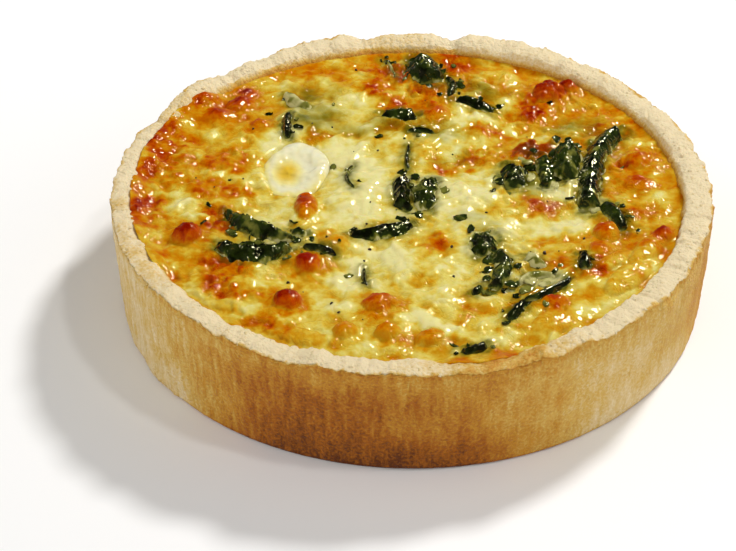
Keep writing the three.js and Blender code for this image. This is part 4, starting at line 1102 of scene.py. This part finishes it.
def leaf_grid(row, s, filling):
    """One leaf: an oval section carried along its path and arched from side to side by 1 less the square of
    the share of its half width. Each edge wanders on its own and dips into the filling, and both faces are
    crumpled alike by sharp-ridged noise. Its points, and how pale each is."""
    name, start, bend, end, width, lift, crumple, pale, tip = row
    # Each leaf has patterns of its own, picked by its name
    seed = 200 + sum(map(ord, name))
    step = s.step / MM
    reach = leaf_path(start, bend, end, np.zeros(1))[2]
    rows = max(14, int(reach / step))
    columns = 2 * max(12, int(1.1 * width / step))
    u = (np.arange(rows) + 0.5) / rows
    place, heading, reach = leaf_path(start, bend, end, u)
    turn = np.arange(columns) * TURN / columns
    side = np.cos(turn)
    run = np.stack([u * reach, 0 * u, 0 * u], -1)
    smooth_half = 0.62 * width * leaf_taper(u, tip)[:, None]
    # The half width of each side wanders along the leaf, most on a crumpled one, and the outline is torn by
    # noise of 2.1 mm
    ragged = 0.65 * min(crumple / 0.8, 1)
    edges = [np.clip(1.05 + ragged * layered(run, 4.6, 4, seed + k)[:, None], 0.5, 1.6) for k in (0, 40)]
    share = side * np.where(side < 0, *edges)
    across = smooth_half * share + 0.2 * width * noise(run, 4, seed + 3)[:, None]
    x = place[:, :1] - heading[:, 1:] * across
    y = place[:, 1:] + heading[:, :1] * across
    ground = flat(x, y)
    tear = (0.2 + 0.6 * crumple) * np.stack([layered(ground, 2.1, 4, seed + k) for k in (10, 11)])
    x, y = (x, y) + tear * (0.3 + 0.7 * np.abs(side)) ** 2
    # Rucks are sharp ridges 2.1 and 1.1 mm apart with finer wrinkles on them. They run along a long leaf and
    # every way on a clump.
    stretch = min(max(0.8 * reach / width, 1), 3.2)
    drawn = np.stack([u[:, None] * reach / stretch + 0 * across, across, 0 * across], -1)
    drawn += 0.5 * np.stack([noise(ground, 1.6, seed + 4), noise(ground, 1.6, seed + 6), 0 * x], -1)
    ruck = 0.36 * (1 - 2.4 * np.abs(noise(drawn, 2.1, seed + 5)))
    ruck += 0.42 * (1 - 2.4 * np.abs(noise(drawn, 1.1, seed + 7)))
    ruck += 0.4 * noise(drawn, 0.9, seed + 12) + 0.2 * noise(ground, 1.4, seed + 15)
    # Its height: an arch that comes down within 1.3 mm of both ends, from the sunken edges up to its crown
    ends = (smooth(0, 1.3, u * reach) * smooth(0, 1.3, (1 - u) * reach))[:, None]
    arch = np.clip(1 - share**2, 0, 1) ** 1.2 * ends
    body = 0.5 * s.thickness / MM * np.sin(turn)
    above = 0.95 * lift * leaf_taper(u, tip)[:, None] * arch - s.edge_sink / MM * (1 - arch) + body
    above = above + 0.8 * crumple * ruck * (0.45 + 0.55 * arch)
    grid = np.stack([x, y, filling_level(x, y, filling) + above], -1)
    # The custard films whatever lies low
    film = 0.66 * smooth(0.8, 0.1, above) * (1 + 0.8 * noise(ground, 1.5, seed + 14))
    film += 0.34 * layered(ground, 2.4, 2, seed + 8) + 0.3 * noise(drawn, 1.2, seed + 13)
    return grid, pale + film - 0.08


def shred_grids(random, count, filling, case):
    """Torn scraps of spinach, the listed ones and more strewn near the leaves: thin strips bent sideways by
    the square of the distance along them, half sunk in the filling. Their points and faces, joined, and how
    pale each point is."""
    rows, columns = 5, 8
    turn = np.arange(columns) * TURN / columns
    u = (np.arange(rows) + 0.5) / rows - 0.5
    near = [LEAVES[k] for k in random.integers(len(LEAVES), size=count)]
    middle = np.stack([leaf_path(*leaf[1:4], random.random(1))[0][0] for leaf in near])
    middle += random.normal(0, 1, (count, 2)) * (1.2 + 0.35 * np.array([leaf[4] for leaf in near])[:, None])
    strewn = random.uniform((0.6, 0.25, 0, 0), (2.8, 0.8, 360, 0.7), (count, 4))
    table = np.concatenate([SCRAPS, np.concatenate([middle, strewn], 1)])
    count = len(table)
    middle = table[:, :2]
    long, width, swing, pale = table[:, 2:, None, None].swapaxes(0, 1)
    swing = np.radians(swing)
    height = filling_relief(*middle.T, filling, case)[0]
    bend = random.uniform(-0.25, 0.25, (count, 1, 1))
    ahead = long * u[:, None] + 0 * turn
    aside = width * np.cos(turn) * (np.cos(math.pi * u) ** 0.7)[:, None] + bend * (ahead**2 - 0.5)
    lift = 0.14 * np.sin(turn) + random.uniform(0, 0.25, (count, 1, 1))
    lift = lift + random.uniform(-0.25, 0.25, (count, rows, columns))
    x = ahead * np.cos(swing) - aside * np.sin(swing)
    y = ahead * np.sin(swing) + aside * np.cos(swing)
    strip = np.stack([x, y, lift], -1)
    strip += np.concatenate([middle, height[:, None]], 1)[:, None, None]
    ends = strip[:, [0, -1]].mean(2)
    points = np.concatenate([strip.reshape(count, -1, 3), ends], 1)
    faces = sum((tube_faces(rows, columns, k * points.shape[1]) for k in range(count)), [])
    return points.reshape(-1, 3), faces, np.repeat(pale.ravel(), points.shape[1])


def grains(random, places, sizes):
    """Rough grains at an array of places, each a little longer than it is wide. Their points and faces."""
    rows, columns = 4, 7
    lean = np.linspace(0, math.pi, rows + 2)[1:-1, None]
    turn = np.arange(columns) * TURN / columns
    ball = around(np.sin(lean), turn, -np.cos(lean))
    ball = np.concatenate([ball.reshape(-1, 3), [(0, 0, -1), (0, 0, 1)]])
    count = len(places)
    rough = ball * random.uniform(0.7, 1.25, (count, len(ball), 1)) * (0.5, 0.4, 0.34)
    rough = rough * np.reshape(sizes, (-1, 1, 1))
    # Each is turned its own way, by the orthogonal part of a random matrix
    spin = random.normal(0, 1, (count, 3, 3))
    spin = np.linalg.qr(spin)[0]
    spin *= np.sign(np.linalg.det(spin))[:, None, None]
    points = rough @ spin + places[:, None]
    return points.reshape(-1, 3), sum((tube_faces(rows, columns, k * len(ball)) for k in range(count)), [])


class QUICHE_OT_spinach(bpy.types.Operator):
    """Makes every piece of wilted spinach"""

    bl_idname = "quiche.spinach"
    bl_label = "Spinach"

    def execute(self, context):
        s = context.scene.quiche_spinach
        filling = context.scene.quiche_filling
        material = spinach_material(s)
        for row in LEAVES:
            grid, pale = leaf_grid(row, s, filling)
            piece = put_tube("leaf_" + row[0], grid[::-1], {"pale": pale})
            dress(piece, material, "spinach_" + row[0])
        random = np.random.default_rng(29)
        points, faces, pale = shred_grids(random, s.scraps, filling, context.scene.quiche_case)
        piece = put_mesh("spinach_scraps", points, faces, {"pale": pale})
        dress(piece, material)
        return {"FINISHED"}


class QUICHE_OT_pepper(bpy.types.Operator):
    """Strews ground pepper: small rough grains, joined in one mesh"""

    bl_idname = "quiche.pepper"
    bl_label = "Pepper"

    def execute(self, context):
        random = np.random.default_rng(17)
        out, turn, size = random.random((3, SPECKS))
        extra = around(SPECKS_REACH * np.sqrt(out), TURN * turn, 0.3 + 0.3 * size)
        x, y, size = np.concatenate([PEPPER, extra]).T
        height = filling_relief(x, y, context.scene.quiche_filling, context.scene.quiche_case)[0]
        points, faces = grains(random, np.stack([x, y, height + 0.1 * size], -1), size)
        piece = put_mesh("pepper", points, faces, smooth_shaded=False)
        dress(piece, pepper_material())
        return {"FINISHED"}


def studio_world(strength):
    """White walls all round under a darker ceiling, dimmer behind and on the right, and the lit foot of the
    sweep behind the quiche, which edges its far slopes with light. The walls light the quiche, but a filter
    on the lens keeps most of their glare off it. Each part is a ramp along one axis of the way the light
    comes from, and the parts are multiplied together."""
    world = bpy.data.worlds.new("pale_studio")
    world.use_nodes = True
    tree = world.node_tree
    tree.nodes.clear()
    way = add_node(tree, "TexCoord", output="Generated")
    right, back, up = add_node(tree, "SeparateXYZ", (way,)).node.outputs
    walls = add_node(tree, "MapRange", (up, 0.4, 0.8, 1.5, 0.3))
    behind = add_node(tree, "MapRange", (back, 0.1, 0.65, 1.0, 0.13))
    glare = add_node(tree, "LightPath", output="Is Glossy Ray")
    kept = add_node(tree, "Math", (glare, -GLARE_CUT, 1.0), operation="MULTIPLY_ADD")
    tilt = add_node(tree, "MapRange", (right, -1.0, 1.0, 1.4, 0.8))
    light = walls
    for share in (behind, kept, tilt):
        light = add_node(tree, "Math", (light, share), operation="MULTIPLY")
    low = add_node(tree, "MapRange", (up, 0.3, 0.4, 0.13, 0.0))
    far = add_node(tree, "MapRange", (back, 0.45, 0.75, 0.0, 1.0))
    light = add_node(tree, "Math", (low, far, light), operation="MULTIPLY_ADD")
    light = add_node(tree, "Math", (light, strength), operation="MULTIPLY")
    lit = add_node(tree, "Background", {"Color": (1, 1, 1, 1), "Strength": light})
    add_node(tree, "OutputWorld", {"Surface": lit})
    return world


class QUICHE_OT_stage(bpy.types.Operator):
    """Makes the white ground, the soft key light from behind on the right, the small window high on the
    right, the pale surroundings and the camera"""

    bl_idname = "quiche.stage"
    bl_label = "Stage"

    def execute(self, context):
        s = context.scene.quiche_stage
        scene = context.scene
        # A sheet 8 m across, a hair below the foot of the case
        side = np.linspace(-4000, 4000, 3)
        x, y = np.meshgrid(side, side, indexing="ij")
        points = np.stack([x, y, np.full_like(x, -0.05)], -1).reshape(-1, 3)
        ground = put_mesh("ground", points, square_quads(2))
        material, _, _, shader = new_material("white_card")
        feed(shader, {"Base Color": (*s.ground, 1), "Roughness": 0.9, "Specular IOR Level": 0.1})
        ground.data.materials.append(material)
        scene.world = studio_world(s.sky)

        # Round lamps: name, width in metres, power, degrees round from +X, degrees up
        for name, size, power, away, high in (
            ("key", 0.17, s.key_power, 52, 45),
            ("window", 0.1, s.window_power, -15, 66),
        ):
            lamp = bpy.data.lights.new(name, "AREA")
            lamp.shape = "DISK"
            lamp.size = size
            lamp.energy = power
            light = bpy.data.objects.new(name, lamp)
            away, high = math.radians(away), math.radians(high)
            way = Vector((math.cos(away) * math.cos(high), math.sin(away) * math.cos(high), math.sin(high)))
            light.location = LAMP_DISTANCE * way
            light.rotation_euler = light.location.to_track_quat("Z", "Y").to_euler()
            scene.collection.objects.link(light)

        # The camera stands in front, aims past the middle by the two aims, and is rolled about that line
        camera = bpy.data.objects.new("camera", bpy.data.cameras.new("camera"))
        back = Vector((0, -math.cos(s.elevation), math.sin(s.elevation)))
        right = Vector((1, 0, 0))
        up = back.cross(right)
        spot = back * s.distance
        aim = spot - (up * s.aim_up - right * s.aim_left)
        back, right = aim.normalized(), up.cross(aim).normalized()
        up = back.cross(right)
        turned = right * math.cos(s.roll) + up * math.sin(s.roll)
        up = back.cross(turned)
        camera.matrix_world = Matrix.Translation(spot) @ Matrix((turned, up, back)).transposed().to_4x4()
        camera.data.lens = s.lens
        camera.data.sensor_width = 36
        scene.collection.objects.link(camera)
        scene.camera = camera
        scene.view_settings.view_transform = "Standard"
        return {"FINISHED"}


STEPS = (
    QUICHE_OT_stage,
    QUICHE_OT_case,
    QUICHE_OT_filling,
    QUICHE_OT_round,
    QUICHE_OT_spinach,
    QUICHE_OT_pepper,
)
SETTINGS = {
    "quiche_case": CaseSettings,
    "quiche_filling": FillingSettings,
    "quiche_spinach": SpinachSettings,
    "quiche_stage": StageSettings,
}


class QUICHE_PT_panel(bpy.types.Panel):
    """Lists the settings and the steps"""

    bl_idname = "QUICHE_PT_panel"
    bl_label = "Individual quiche"
    bl_space_type = "VIEW_3D"
    bl_region_type = "UI"
    bl_category = "Quiche"

    def draw(self, context):
        for step in STEPS:
            self.layout.operator(step.bl_idname)
        for name, group in SETTINGS.items():
            box = self.layout.box()
            for key in group.__annotations__:
                box.prop(getattr(context.scene, name), key)


CLASSES = (*SETTINGS.values(), *STEPS, QUICHE_PT_panel)


def register():
    """Makes the classes and the settings known to Blender."""
    for cls in CLASSES:
        bpy.utils.register_class(cls)
    for name, group in SETTINGS.items():
        setattr(bpy.types.Scene, name, PointerProperty(type=group))


def unregister():
    """Takes the settings and the classes away again."""
    for name in SETTINGS:
        delattr(bpy.types.Scene, name)
    for cls in reversed(CLASSES):
        bpy.utils.unregister_class(cls)


def main():
    """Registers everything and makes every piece."""
    register()
    for step in STEPS:
        group, name = step.bl_idname.split(".")
        getattr(getattr(bpy.ops, group), name)()


if __name__ == "__main__":
    main()
